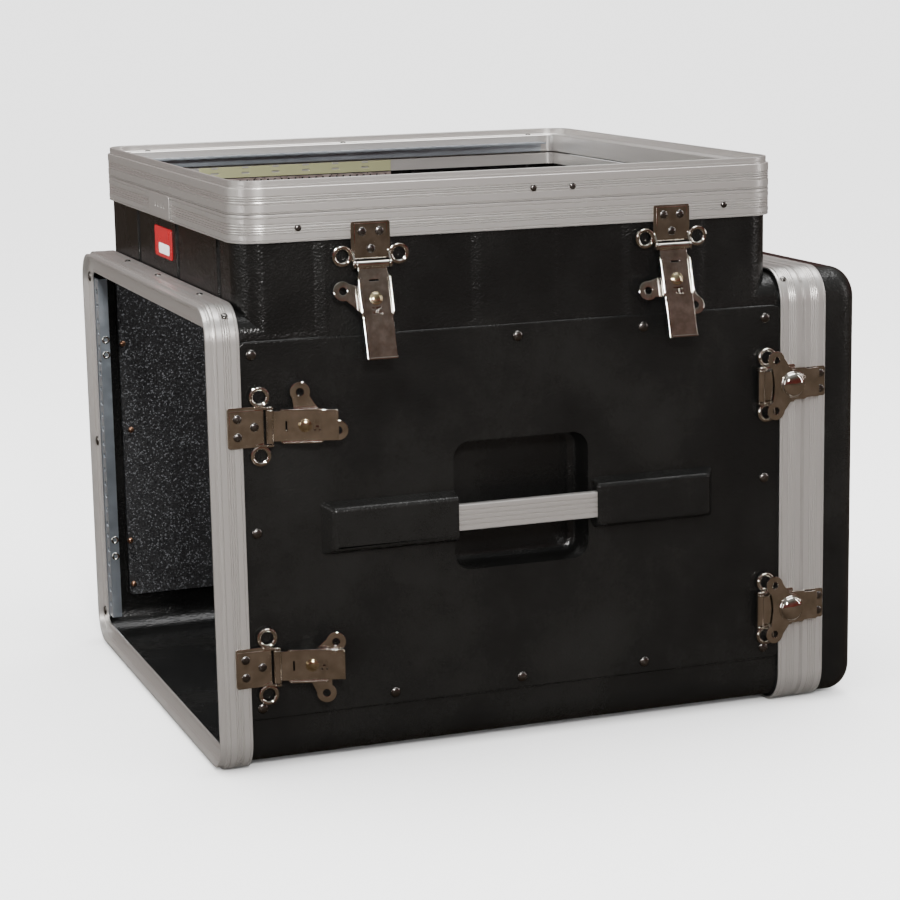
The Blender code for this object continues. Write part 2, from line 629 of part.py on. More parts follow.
def wing_mesh():
    """Butterfly plate with two holed lobes and a domed cap, about its own pivot."""
    angle = math.radians(LOBE_ANGLE)
    hub = mesh_of(disc_bmesh(0.0145, WING_BOTTOM, WING_TOP, 12), "wing")
    plate = link("wing", hub, collection=CUTTERS)
    cuts = []
    for sign in (-1, 1):
        centre = Vector((LOBE_REACH * math.cos(angle), sign * LOBE_REACH * math.sin(angle), 0))
        lobe = mesh_of(disc_bmesh(LOBE_RADIUS, WING_BOTTOM, WING_TOP, 10), "lobe")
        cuts.append(("UNION", cutter("lobe", lobe, Matrix.Translation(centre))))
        turn = Matrix.Rotation(math.atan2(centre.y, centre.x), 4, "Z")
        neck = box_mesh("neck", (0, -0.0078, WING_BOTTOM + 1e-5), (LOBE_REACH, 0.0078, WING_TOP - 1e-5))
        cuts.append(("UNION", cutter("neck", neck, turn)))
        hole = mesh_of(disc_bmesh(LOBE_HOLE, WING_BOTTOM - 0.01, WING_TOP + 0.01, 6), "lobe_hole")
        cuts.append(("DIFFERENCE", cutter("lobe_hole", hole, Matrix.Translation(centre))))
    web = box_mesh("web", (LOBE_REACH * math.cos(angle) - 0.003, -0.017, WING_BOTTOM + 2e-5),
                   (0, 0.017, WING_TOP - 2e-5))
    cuts.append(("UNION", cutter("web", web)))
    dome = mesh_of(dome_bmesh(CAP_RADIUS, WING_TOP - 0.0005, CAP_HEIGHT + 0.0005, 12), "dome")
    cuts.append(("UNION", cutter("dome", dome)))
    return joined(plate, cuts)


def dome_bmesh(radius, base, height, segments):
    """Lower half of a flattened sphere is cut off, which leaves a closed dome."""
    bm = bmesh.new()
    bmesh.ops.create_uvsphere(bm, u_segments=segments, v_segments=4, radius=1.0)
    bmesh.ops.bisect_plane(bm, geom=bm.verts[:] + bm.edges[:] + bm.faces[:], dist=1e-6, plane_co=(0, 0, 0),
                           plane_no=(0, 0, -1), clear_outer=True)
    bmesh.ops.holes_fill(bm, edges=[e for e in bm.edges if e.is_boundary])
    bmesh.ops.scale(bm, vec=(radius, radius, height), verts=bm.verts)
    bmesh.ops.translate(bm, vec=(0, 0, base), verts=bm.verts)
    return bm


def build_latches(nickel):
    rivet = head_mesh(0.0040, 0.0013, 6)
    base, wing = base_mesh(rivet), wing_mesh()
    arms = {length: arm_mesh(length) for length in (ARM_LENGTH, TOP_ARM_LENGTH)}
    for tag, frame, length, opened, turn in latch_places():
        link("latch_base_" + tag, base, nickel, matrix=frame)
        # The arm turns about its barrel, so it opens by a negative turn about the latch's y
        swung = frame @ Matrix.Rotation(math.radians(-opened), 4, "Y")
        link("latch_arm_" + tag, arms[length], nickel, matrix=swung)
        pivot = Matrix.Translation((PIVOT_ALONG, 0, 0)) @ Matrix.Rotation(math.radians(turn), 4, "Z")
        link("latch_wing_" + tag, wing, nickel, matrix=swung @ pivot)


def build_keepers(nickel):
    """Riveted plates on the rear lid that the rear latches' hooks lie over."""
    low = (HINGE_TO_SEAM + 0.0015, -0.0145, BASE_BOTTOM)
    plate = link("keeper", box_mesh("keeper", low, (HINGE_TO_SEAM + 0.0225, 0.0145, BASE_BOTTOM + 0.0015)),
                 collection=CUTTERS)
    head = head_mesh(0.0038, 0.0013, 6)
    rivets = [("UNION", cutter("keeper_rivet", head, Matrix.Translation((0.0655, y, BASE_BOTTOM + 0.0015))))
              for y in (-0.0075, 0.0075)]
    mesh = joined(plate, rivets)
    for tag, frame, *_ in latch_places():
        if tag.startswith("rear"):
            link("lid_keeper_" + tag[5:], mesh, nickel, matrix=frame)


def build_plates(aluminium, red):
    """Splice plate over the joint in the body's top frame, and the plain badge in its seat."""
    front = back(TOP_START)
    low = (-0.050, front - 0.0012, SEAM_HEIGHT - 0.0235)
    high = (0.033, front - FIT, SEAM_HEIGHT - 0.0015)
    link("splice_plate", box_mesh("splice_plate", low, high), aluminium)
    link("badge", box_mesh("badge", *badge_corners(FIT)), red)


def main():
    clear_scene()
    aluminium = make_material("satin_aluminium", (0.62, 0.60, 0.58), 0.32, 1.0)
    plastic = make_material("black_polyethylene", (0.012, 0.012, 0.011), 0.42)
    nickel = make_material("nickel_plate", (0.72, 0.70, 0.66), 0.12, 1.0)
    zinc = make_material("zinc_plate", (0.58, 0.62, 0.68), 0.30, 1.0)
    passivated = make_material("yellow_passivated_zinc", (0.62, 0.63, 0.36), 0.38, 1.0)
    plywood = make_material("black_coated_plywood", (0.010, 0.010, 0.011), 0.75)
    red = make_material("red_enamel", (0.55, 0.02, 0.02), 0.35)
    build_frames(aluminium)
    build_shell(plastic)
    build_handles(aluminium)
    build_side_panels(plywood)
    build_rails(zinc, passivated)
    build_lid(plastic)
    build_latches(nickel)
    build_keepers(nickel)
    build_plates(aluminium, red)


main()
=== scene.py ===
"""Looks of a moulded rack case with a front rack bay, a pop-up mixer frame and a lift-off rear lid.

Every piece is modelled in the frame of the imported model: +X across the rack, the front opening at -Y,
the rear lid at +Y and +Z up. Lengths are in metres, apart from the latch and profile tables, which are in
millimetres because that is how such parts are drawn.
"""

from __future__ import annotations

import json
import logging
import math
from dataclasses import dataclass, field
from enum import Enum
from typing import Callable, ClassVar, Iterable, Sequence

import bmesh
import bpy
from mathutils import Matrix, Vector


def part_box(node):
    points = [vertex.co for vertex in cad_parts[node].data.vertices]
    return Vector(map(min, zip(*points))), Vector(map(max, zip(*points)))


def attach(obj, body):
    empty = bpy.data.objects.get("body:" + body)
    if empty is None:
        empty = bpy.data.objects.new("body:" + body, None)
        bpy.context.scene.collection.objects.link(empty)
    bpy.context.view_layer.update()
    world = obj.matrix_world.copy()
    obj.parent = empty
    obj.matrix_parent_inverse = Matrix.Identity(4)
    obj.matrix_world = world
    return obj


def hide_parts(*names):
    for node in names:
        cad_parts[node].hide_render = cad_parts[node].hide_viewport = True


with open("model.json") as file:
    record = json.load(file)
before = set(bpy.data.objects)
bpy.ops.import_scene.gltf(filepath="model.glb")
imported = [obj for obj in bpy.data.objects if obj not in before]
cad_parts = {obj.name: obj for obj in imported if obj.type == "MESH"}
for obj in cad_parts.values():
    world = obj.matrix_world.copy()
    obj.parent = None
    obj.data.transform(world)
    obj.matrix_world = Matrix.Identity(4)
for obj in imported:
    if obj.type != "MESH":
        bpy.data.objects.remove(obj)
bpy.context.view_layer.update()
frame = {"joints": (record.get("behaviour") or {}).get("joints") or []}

LOG = logging.getLogger("rack_case")
MM = 0.001
TOUCH = 1e-6
SMOOTH_ANGLE = math.radians(32)
FINE_ANGLE = math.radians(24)

Point = tuple[float, float]
Triple = tuple[float, float, float]
Stops = Sequence[tuple[float, Triple]]
Piece = bpy.types.Object
Socket = bpy.types.NodeSocket
EdgeTest = Callable[[Vector, Vector], bool]


class Side(Enum):
    """The two long sides of the case."""

    LEFT = -1
    RIGHT = 1

    @property
    def tag(self) -> str:
        """Word used for this side in node names."""
        return self.name.lower()


class Where(Enum):
    """The three rows of latches, by the lid that they hold."""

    FRONT = "front"
    REAR = "rear"
    TOP = "top"


# ---------------------------------------------------------------- finishes


def set_stops(ramp: bpy.types.ColorRamp, stops: Stops) -> None:
    """Gives a colour ramp its stops, each a position and a colour, in order."""
    while len(ramp.elements) < len(stops):
        ramp.elements.new(0.5)
    for element, (position, colour) in zip(ramp.elements, stops):
        element.position = position
        element.color = (*colour, 1.0)


class Recipe:
    """A Principled material being put together from procedural nodes on Object coordinates."""

    def __init__(self, name: str) -> None:
        """Starts a material.

        Args:
            name: the material's name.
        """
        self.material = bpy.data.materials.new(name)
        self.material.use_nodes = True
        self.tree = self.material.node_tree
        self.shader = self.tree.nodes["Principled BSDF"]
        self.place = self.tree.nodes.new("ShaderNodeTexCoord").outputs["Object"]

    def fix(self, **values: object) -> None:
        """Sets constants on the shader, with underscores for the spaces in a socket's name."""
        for key, value in values.items():
            self.shader.inputs[key.replace("_", " ")].default_value = value

    def stretched(self, scale: Triple) -> Socket:
        """Coordinates scaled by a different amount along each axis."""
        node = self.tree.nodes.new("ShaderNodeMapping")
        node.inputs["Scale"].default_value = scale
        self.tree.links.new(self.place, node.inputs["Vector"])
        return node.outputs["Vector"]

    def noise(self, scale: float, detail: float = 3.0, roughness: float = 0.5,
              vector: Socket | None = None) -> Socket:
        """A noise value.

        Args:
            scale: features per metre.
            detail: number of octaves.
            roughness: share that each octave passes on.
            vector: coordinates, or None for the plain Object ones.

        Returns:
            The noise's value socket.
        """
        node = self.tree.nodes.new("ShaderNodeTexNoise")
        node.inputs["Scale"].default_value = scale
        node.inputs["Detail"].default_value = detail
        node.inputs["Roughness"].default_value = roughness
        self.tree.links.new(vector or self.place, node.inputs["Vector"])
        return node.outputs["Fac"]

    def cells(self, scale: float, feature: str = "SMOOTH_F1", output: str = "Distance") -> Socket:
        """A Voronoi value or colour at so many cells a metre."""
        node = self.tree.nodes.new("ShaderNodeTexVoronoi")
        node.feature = feature
        node.inputs["Scale"].default_value = scale
        self.tree.links.new(self.place, node.inputs["Vector"])
        return node.outputs[output]

    def ramp(self, value: Socket, stops: Stops) -> Socket:
        """Colour read from a ramp.

        Args:
            value: the socket that drives the ramp.
            stops: position and colour of each stop, in order.

        Returns:
            The ramp's colour socket.
        """
        node = self.tree.nodes.new("ShaderNodeValToRGB")
        set_stops(node.color_ramp, stops)
        self.tree.links.new(value, node.inputs["Fac"])
        return node.outputs["Color"]

    def spread(self, value: Socket, low: float, high: float, start: float = 0.3, end: float = 0.7) -> Socket:
        """Maps a value between start and end to one between low and high."""
        node = self.tree.nodes.new("ShaderNodeMapRange")
        for key, number in (("From Min", start), ("From Max", end), ("To Min", low), ("To Max", high)):
            node.inputs[key].default_value = number
        self.tree.links.new(value, node.inputs["Value"])
        return node.outputs["Result"]

    def sum(self, first: Socket, second: Socket, share: float) -> Socket:
        """First value plus a share of the second."""
        node = self.tree.nodes.new("ShaderNodeMath")
        node.operation = "MULTIPLY_ADD"
        self.tree.links.new(second, node.inputs[0])
        node.inputs[1].default_value = share
        self.tree.links.new(first, node.inputs[2])
        return node.outputs["Value"]

    def bump(self, height: Socket, strength: float, distance: float) -> None:
        """Raises the surface by a height socket, over a distance in metres."""
        node = self.tree.nodes.new("ShaderNodeBump")
        node.inputs["Strength"].default_value = strength
        node.inputs["Distance"].default_value = distance
        self.tree.links.new(height, node.inputs["Height"])
        self.tree.links.new(node.outputs["Normal"], self.shader.inputs["Normal"])

    def feed(self, socket: str, value: Socket) -> None:
        """Links a value to one of the shader's sockets."""
        self.tree.links.new(value, self.shader.inputs[socket])


@dataclass(frozen=True)
class Finish:
    """Base of all finishes: a name, the record's slot and a cached material."""

    name: str
    slot: str

    def recipe(self) -> Recipe:
        """Material of this finish, which each kind builds for itself."""
        raise NotImplementedError

    def material(self) -> bpy.types.Material:
        """The finish's material, made the first time it is asked for."""
        found = bpy.data.materials.get(self.name)
        return found or self.recipe().material


@dataclass(frozen=True)
class Metal(Finish):
    """Plated or bare metal with soft stains in its colour and fine scratches in its gloss."""

    dark: Triple = (0.50, 0.49, 0.48)
    light: Triple = (0.72, 0.71, 0.70)
    gloss: Point = (0.24, 0.40)
    stain_scale: float = 9.0
    grain: Triple = (260.0, 260.0, 260.0)
    relief: float = 0.00002
    metallic: float = 1.0

    def recipe(self) -> Recipe:
        """Material with stains, scratches and a faint relief."""
        made = Recipe(self.name)
        made.fix(Metallic=self.metallic)
        stains = made.noise(self.stain_scale, 5.0, 0.6)
        made.feed("Base Color", made.ramp(stains, ((0.32, self.dark), (0.68, self.light))))
        grain = made.noise(1.0, 3.0, 0.6, made.stretched(self.grain))
        wear = made.sum(grain, stains, 0.5)
        made.feed("Roughness", made.spread(wear, *self.gloss, start=0.55, end=0.95))
        made.bump(grain, 0.25, self.relief)
        return made


@dataclass(frozen=True)
class PebblePlastic(Finish):
    """Moulded polyethylene with a leather-like pebble grain."""

    base: Triple = (0.0026, 0.0026, 0.0025)
    dusty: Triple = (0.0055, 0.0053, 0.0048)
    gloss: Point = (0.20, 0.33)
    pebble: float = 520.0
    relief: float = 0.0006

    def recipe(self) -> Recipe:
        """Material with pebbles, their finer grain and faint dust."""
        made = Recipe(self.name)
        made.fix(Metallic=0.0, IOR=1.42)
        dust = made.noise(7.0, 6.0, 0.6)
        made.feed("Base Color", made.ramp(dust, ((0.40, self.base), (0.75, self.dusty))))
        pebbles = made.cells(self.pebble)
        fine = made.noise(1500.0, 3.0, 0.6)
        broad = made.noise(180.0, 2.0, 0.5)
        height = made.sum(made.sum(pebbles, fine, 0.25), broad, 0.8)
        made.feed("Roughness", made.spread(made.sum(dust, fine, 0.3), *self.gloss, start=0.5, end=0.85))
        made.bump(height, 0.55, self.relief)
        return made


@dataclass(frozen=True)
class SparkleCoat(Finish):
    """Rough black coating whose grit carries painted glints: a share of its cells get a lighter base colour.
    """

    base: Triple = (0.006, 0.006, 0.007)
    # lighter colour of the painted glints, standing in for sparkle of light on the grit
    grit: Triple = (0.085, 0.088, 0.094)
    glint_scale: float = 820.0
    grit_scale: float = 620.0
    relief: float = 0.0022

    def recipe(self) -> Recipe:
        """Material with coarse lumps, and painted glints as a lighter base colour on a share of its cells."""
        made = Recipe(self.name)
        made.fix(Metallic=0.0, IOR=1.55)
        lumps = made.noise(self.grit_scale, 4.0, 0.62)
        glints = made.cells(self.glint_scale, "F1", "Color")
        # painted glints: the highest cells of a random Voronoi colour get a lighter base colour
        made.feed("Base Color", made.ramp(glints, ((0.50, self.base), (0.73, self.base), (0.86, self.grit))))
        patch = made.noise(self.grit_scale * 0.45, 2.0, 0.5)
        made.feed("Roughness", made.spread(patch, 0.28, 0.62))
        made.bump(made.sum(lumps, patch, 0.6), 0.9, self.relief)
        return made


@dataclass(frozen=True)
class Enamel(Finish):
    """Smooth paint or moulded plastic with a faint orange peel."""

    base: Triple = (0.5, 0.02, 0.02)
    worn: Triple = (0.42, 0.03, 0.03)
    gloss: Point = (0.22, 0.40)

    def recipe(self) -> Recipe:
        """Material with slight fading and orange peel."""
        made = Recipe(self.name)
        made.fix(Metallic=0.0)
        fade = made.noise(60.0, 4.0, 0.6)
        made.feed("Base Color", made.ramp(fade, ((0.35, self.base), (0.70, self.worn))))
        peel = made.noise(900.0, 2.0, 0.5)
        made.feed("Roughness", made.spread(fade, *self.gloss))
        made.bump(peel, 0.2, 0.0001)
        return made


ALUMINIUM = Metal("satin_aluminium", "satin_aluminium", (0.60, 0.595, 0.58), (0.78, 0.775, 0.765),
                  gloss=(0.18, 0.28), stain_scale=6.0, relief=0.00001, metallic=0.93)
PLASTIC = PebblePlastic("pebbled_polyethylene", "black_polyethylene")
NICKEL = Metal("bright_nickel", "nickel_plate", (0.60, 0.575, 0.52), (0.95, 0.92, 0.87),
               gloss=(0.04, 0.12), stain_scale=75.0, relief=0.00006)
DARK_RIVET = Metal("dark_rivet", "nickel_plate", (0.13, 0.125, 0.12), (0.24, 0.23, 0.22),
                   gloss=(0.16, 0.30), stain_scale=120.0)
BRASS = Metal("brassy_boss", "nickel_plate", (0.52, 0.43, 0.26), (0.72, 0.62, 0.42),
              gloss=(0.12, 0.24), stain_scale=120.0)
COPPER = Metal("coppery_rivet_tail", "nickel_plate", (0.30, 0.15, 0.09), (0.48, 0.28, 0.18),
               gloss=(0.25, 0.40), stain_scale=150.0)
ZINC = Metal("bluish_zinc", "zinc_plate", (0.42, 0.48, 0.54), (0.56, 0.62, 0.69),
             gloss=(0.30, 0.36), stain_scale=9.0, grain=(90.0, 90.0, 90.0), relief=0.00001)
PINK_ZINC = Metal("pinkish_strip", "zinc_plate", (0.56, 0.44, 0.42), (0.74, 0.64, 0.61),
                  gloss=(0.26, 0.40), stain_scale=90.0)
YELLOW_ZINC = Metal("yellow_passivated_zinc", "yellow_passivated_zinc", (0.14, 0.20, 0.07),
                    (0.26, 0.32, 0.12), gloss=(0.24, 0.42), stain_scale=28.0)
GRIT = SparkleCoat("sparkling_black_coat", "black_coated_plywood")
RED = Enamel("red_badge_enamel", "red_enamel", (0.30, 0.004, 0.008), (0.25, 0.008, 0.011))
WHITE = Enamel("white_badge_enamel", "red_enamel", (0.72, 0.71, 0.68), (0.60, 0.59, 0.56), (0.30, 0.45))
WEBBING = Enamel("black_webbing", "black_polyethylene", (0.010, 0.010, 0.010), (0.018, 0.018, 0.017),
                 (0.55, 0.75))


# ---------------------------------------------------------------- modelling bench


class Bench:
    """Modelling by hand: each call works on one object with everything else deselected."""

    @staticmethod
    def take(obj: Piece) -> Piece:
        """Selects one object alone and makes it active."""
        for other in bpy.context.selected_objects:
            other.select_set(False)
        obj.select_set(True)
        bpy.context.view_layer.objects.active = obj
        return obj

    @classmethod
    def settle(cls, obj: Piece) -> Piece:
        """Puts an object's place, turn and size in its mesh."""
        obj.data.transform(obj.matrix_world)
        obj.matrix_world = Matrix.Identity(4)
        return obj

    @classmethod
    def block(cls, name: str, low: Sequence[float], high: Sequence[float]) -> Piece:
        """A box between two corners.

        Args:
            name: the object's name.
            low: lowest corner.
            high: highest corner.

        Returns:
            The box, with its place in its mesh.
        """
        low_corner, high_corner = Vector(low), Vector(high)
        for other in bpy.context.selected_objects:
            other.select_set(False)
        bpy.ops.mesh.primitive_cube_add(size=1.0, location=(low_corner + high_corner) / 2)
        obj = bpy.context.object
        obj.name = obj.data.name = name
        obj.scale = high_corner - low_corner
        bpy.context.view_layer.update()
        return cls.settle(obj)

    @classmethod
    def rounded(cls, obj: Piece, width: float, segments: int,
                pick: EdgeTest | None = None) -> Piece:
        """Bevels the edges that a test on their two ends picks, or all of them.

        Args:
            obj: the object to work on.
            width: bevel width.
            segments: steps across the bevel.
            pick: test on an edge's two ends, or None for every edge.

        Returns:
            The same object.
        """
        cls.take(obj)
        bpy.ops.object.mode_set(mode="EDIT")
        bpy.ops.mesh.select_mode(type="EDGE")
        bpy.ops.mesh.select_all(action="DESELECT")
        work = bmesh.from_edit_mesh(obj.data)
        for edge in work.edges:
            ends = edge.verts[0].co, edge.verts[1].co
            edge.select_set(pick is None or pick(*ends))
        bmesh.update_edit_mesh(obj.data)
        bpy.ops.mesh.bevel(offset=width, segments=segments, profile=0.5, affect="EDGES")
        bpy.ops.object.mode_set(mode="OBJECT")
        return obj

    @classmethod
    def modify(cls, obj: Piece, kind: str, **values: object) -> Piece:
        """Adds a modifier with the given values and applies it."""
        cls.take(obj)
        modifier = obj.modifiers.new(kind.lower(), kind)
        for key, value in values.items():
            setattr(modifier, key, value)
        bpy.ops.object.modifier_apply(modifier=modifier.name)
        return obj

    @classmethod
    def combine(cls, obj: Piece, tool: Piece, operation: str = "DIFFERENCE") -> Piece:
        """Applies a Boolean with a tool, which is then removed."""
        cls.modify(obj, "BOOLEAN", object=tool, operation=operation, solver="EXACT")
        bpy.data.objects.remove(tool, do_unlink=True)
        return obj

    @classmethod
    def joined(cls, name: str, parts: Sequence[Piece]) -> Piece:
        """Joins several objects into one of that name."""
        cls.take(parts[0])
        for part in parts[1:]:
            part.select_set(True)
        if len(parts) > 1:
            bpy.ops.object.join()
        obj = bpy.context.view_layer.objects.active
        obj.name = obj.data.name = name
        return obj

    @classmethod
    def outward(cls, obj: Piece, merge: float = TOUCH) -> Piece:
        """Merges doubles and turns every face outwards."""
        cls.take(obj)
        bpy.ops.object.mode_set(mode="EDIT")
        bpy.ops.mesh.select_all(action="SELECT")
        bpy.ops.mesh.remove_doubles(threshold=merge)
        bpy.ops.mesh.normals_make_consistent(inside=False)
        bpy.ops.object.mode_set(mode="OBJECT")
        return obj

    @staticmethod
    def poly_curve(name: str, outlines: Sequence[Sequence[Point]], closed: bool = True) -> Piece:
        """A flat curve of straight steps, one spline for each outline."""
        data = bpy.data.curves.new(name, "CURVE")
        data.dimensions = "2D"
        for outline in outlines:
            spline = data.splines.new("POLY")
            spline.points.add(len(outline) - 1)
            for point, (x, y) in zip(spline.points, outline):
                point.co = (x, y, 0.0, 1.0)
            spline.use_cyclic_u = closed
        obj = bpy.data.objects.new(name, data)
        bpy.context.scene.collection.objects.link(obj)
        return obj

    @classmethod
    def as_mesh(cls, obj: Piece) -> Piece:
        """Converts a curve to a mesh with merged seams and outward faces."""
        cls.take(obj)
        bpy.ops.object.convert(target="MESH")
        return cls.outward(bpy.context.object)

    @classmethod
    def prism(cls, name: str, outline: Sequence[Point], low: float, high: float,
              holes: Sequence[Sequence[Point]] = (), edge: float = 0.0,
              place: Matrix | None = None) -> Piece:
        """A flat plate cut to an outline, with rounded rims where an edge is given.

        Args:
            name: the object's name.
            outline: outer outline in the plate's own x and y.
            low: lower face, along the plate's z.
            high: upper face.
            holes: outlines cut out of it.
            edge: radius of the rims.
            place: where the plate goes, or None to leave it.

        Returns:
            The plate as a mesh.
        """
        obj = cls.poly_curve(name, [outline, *holes])
        obj.data.fill_mode = "BOTH"
        obj.data.extrude = (high - low) / 2 - edge
        if edge:
            obj.data.bevel_depth = edge
            obj.data.bevel_resolution = 1
            obj.data.offset = -edge
        mesh = cls.as_mesh(obj)
        lift = Matrix.Translation((0.0, 0.0, (low + high) / 2))
        mesh.data.transform((place or Matrix.Identity(4)) @ lift)
        if place is not None and place.to_3x3().determinant() < 0:
            mesh.data.flip_normals()
        return mesh

    @classmethod
    def swept(cls, name: str, outline: Sequence[Point], path: Sequence[Point], place: Matrix) -> Piece:
        """A section carried round a closed flat path.

        Args:
            name: the object's name.
            outline: section; x runs inwards from the path, y along the path's own z.
            path: closed path in its own x and y.
            place: where the path's plane goes.

        Returns:
            The swept solid as a mesh.
        """
        section = cls.poly_curve(name + "_section", [outline])
        obj = cls.poly_curve(name, [path])
        obj.data.bevel_mode = "OBJECT"
        obj.data.bevel_object = section
        mesh = cls.as_mesh(obj)
        bpy.data.objects.remove(section, do_unlink=True)
        mesh.data.transform(place)
        return mesh

    @classmethod
    def turned(cls, name: str, profile: Sequence[Point], place: Matrix, steps: int = 32) -> Piece:
        """A turned solid.

        Args:
            name: the object's name.
            profile: radius and height of each point, from the axis round to the axis again.
            place: where the axis, +Z of the profile, goes.
            steps: facets round it.

        Returns:
            The solid as a mesh.
        """
        data = bpy.data.meshes.new(name)
        data.from_pydata([(r, 0.0, z) for r, z in profile], [(i, i + 1) for i in range(len(profile) - 1)], [])
        obj = bpy.data.objects.new(name, data)
        bpy.context.scene.collection.objects.link(obj)
        cls.modify(obj, "SCREW", angle=math.tau, steps=steps, render_steps=steps, use_merge_vertices=True,
                   merge_threshold=TOUCH)
        cls.outward(obj)
        obj.data.transform(place)
        return obj

    @classmethod
    def copy(cls, name: str, source: Piece, place: Matrix) -> Piece:
        """A copy with a mesh of its own, moved by a matrix; a mirroring one is turned right side out."""
        mesh = source.data.copy()
        mesh.name = name
        mesh.transform(place)
        if place.to_3x3().determinant() < 0:
            mesh.flip_normals()
        obj = bpy.data.objects.new(name, mesh)
        bpy.context.scene.collection.objects.link(obj)
        return obj

    @classmethod
    def smooth(cls, obj: Piece, angle: float = SMOOTH_ANGLE) -> Piece:
        """Shades an object smooth, apart from its sharp edges, and keeps its broad faces flat."""
        cls.take(obj)
        bpy.ops.object.shade_smooth_by_angle(angle=angle)
        return cls.modify(obj, "WEIGHTED_NORMAL", keep_sharp=True, weight=90)

    @classmethod
    def finished(cls, obj: Piece, angle: float = SMOOTH_ANGLE) -> Piece:
        """Turns an object's faces outwards and shades it."""
        return cls.smooth(cls.outward(obj), angle)

    @classmethod
    def scattered(cls, name: str, master: Piece, places: Sequence[Matrix]) -> Piece:
        """Copies a master to every place and joins the copies; the master is removed."""
        copies = [cls.copy(name, master, place) for place in places]
        bpy.data.objects.remove(master, do_unlink=True)
        return cls.smooth(cls.joined(name, copies))


def arc(centre: Point, radius: float, start: float, end: float, steps: int) -> list[Point]:
    """Points along an arc, angles in degrees, both ends included."""
    angles = [math.radians(start + (end - start) * i / steps) for i in range(steps + 1)]
    return [(centre[0] + radius * math.cos(a), centre[1] + radius * math.sin(a)) for a in angles]


def rounded_rectangle(width: float, height: float, radius: float, steps: int,
                      centre: Point = (0.0, 0.0)) -> list[Point]:
    """Outline of a rounded rectangle about a centre."""
    points: list[Point] = []
    for quarter, (sx, sy) in enumerate(((1, 1), (-1, 1), (-1, -1), (1, -1))):
        corner = (centre[0] + sx * (width / 2 - radius), centre[1] + sy * (height / 2 - radius))
        points += arc(corner, radius, 90.0 * quarter, 90.0 * (quarter + 1), steps)
    return points


def rectangle(width: float, height: float) -> list[Point]:
    """Outline of a rectangle about the middle."""
    x, y = width / 2, height / 2
    return [(-x, -y), (x, -y), (x, y), (-x, y)]


def circle(centre: Point, radius: float, steps: int) -> list[Point]:
    """Closed circle of so many points."""
    return arc(centre, radius, 0.0, 360.0, steps)[:-1]


def scaled(points: Iterable[Point]) -> list[Point]:
    """Points in millimetres, in metres."""
    return [(x * MM, y * MM) for x, y in points]


def stand(point: Sequence[float], outward: Sequence[float]) -> Matrix:
    """Matrix that stands +Z of a piece at a point, along a direction."""
    turn = Vector((0.0, 0.0, 1.0)).rotation_difference(Vector(outward))
    return Matrix.Translation(point) @ turn.to_matrix().to_4x4()


def facing_side(x: float, y: float, z: float) -> Matrix:
    """Place of a plate that faces +X, with its own x along Y and its y up."""
    return Matrix(((0, 0, 1, x), (1, 0, 0, y), (0, 1, 0, z), (0, 0, 0, 1)))


def facing_front(x: float, y: float, z: float) -> Matrix:
    """Place of a plate that faces -Y, with its own x along X and its y up."""
    return Matrix(((1, 0, 0, x), (0, 0, -1, y), (0, 1, 0, z), (0, 0, 0, 1)))


def dress(obj: Piece, finish: Finish, body: str, *nodes: str) -> Piece:
    """Gives a finished piece its material and body, and hides the CAD nodes that it stands for.

    Args:
        obj: the piece, in place.
        finish: its finish.
        body: the body that it rides on.
        nodes: the CAD nodes that it replaces.

    Returns:
        The piece.
    """
    obj.data.materials.clear()
    obj.data.materials.append(finish.material())
    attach(obj, body)
    if nodes:
        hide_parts(*nodes)
    LOG.info("%s rides on %s", obj.name, body)
    return obj


# ---------------------------------------------------------------- shared places

CASE_BODY = "case"
MIXER_BODY = "mixer_frame"
LID_BODY = "rear_lid"
BAR_TRIM = 0.0012
BADGE_TRIM = 0.001
BADGE_FOOT = 0.0065
FRAME_LOW, FRAME_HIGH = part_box("front_valance")
LID_LOW, LID_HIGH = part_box("rear_lid_shell")
HALF_WIDTH = FRAME_HIGH.x
FRONT_Y = FRAME_LOW.y
JOINTS = {joint["name"]: joint for joint in frame["joints"]}


def back(distance: float) -> float:
    """Y of a point given by its distance behind the front tongue, in millimetres."""
    return FRONT_Y + distance * MM


def both(side: Side, near: float, far: float) -> tuple[float, float]:
    """The two X values of something between two distances from the middle, lowest first."""
    first, second = sorted((side.value * near, side.value * far))
    return first, second


def side_block(name: str, side: Side, near: float, far: float, low: Point, high: Point) -> Piece:
    """Block on one side of the case.

    Args:
        name: the object's name.
        side: side of the case.
        near: distance of its inner face from the middle plane.
        far: distance of its outer face.
        low: lowest Y and Z.
        high: highest Y and Z.

    Returns:
        The block.
    """
    x0, x1 = both(side, near, far)
    return Bench.block(name, (x0, *low), (x1, *high))


def bar_box(side: Side) -> tuple[Vector, Vector]:
    """Corners of a handle bar, trimmed a little above and below."""
    low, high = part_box("handle_bar_" + side.tag)
    return Vector((low.x, low.y, low.z + BAR_TRIM)), Vector((high.x, high.y, high.z - BAR_TRIM))


def badge_box() -> tuple[Vector, Vector]:
    """Corners of the badge, which leaves a margin at the foot of its seat."""
    low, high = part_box("badge")
    return Vector((low.x + BADGE_TRIM, low.y, low.z + BADGE_FOOT)), high


def along(axis: int) -> EdgeTest:
    """Test for edges that run along an axis."""
    def runs(first: Vector, second: Vector) -> bool:
        """True for an edge along the axis."""
        span = second - first
        return span.length > 1e-7 and abs(span[axis]) > 0.999 * span.length
    return runs


def on_plane(axis: int, value: float) -> EdgeTest:
    """Test for edges that lie in a plane across an axis."""
    def lies(first: Vector, second: Vector) -> bool:
        """True for an edge with both ends in the plane."""
        return abs(first[axis] - value) < TOUCH and abs(second[axis] - value) < TOUCH
    return lies


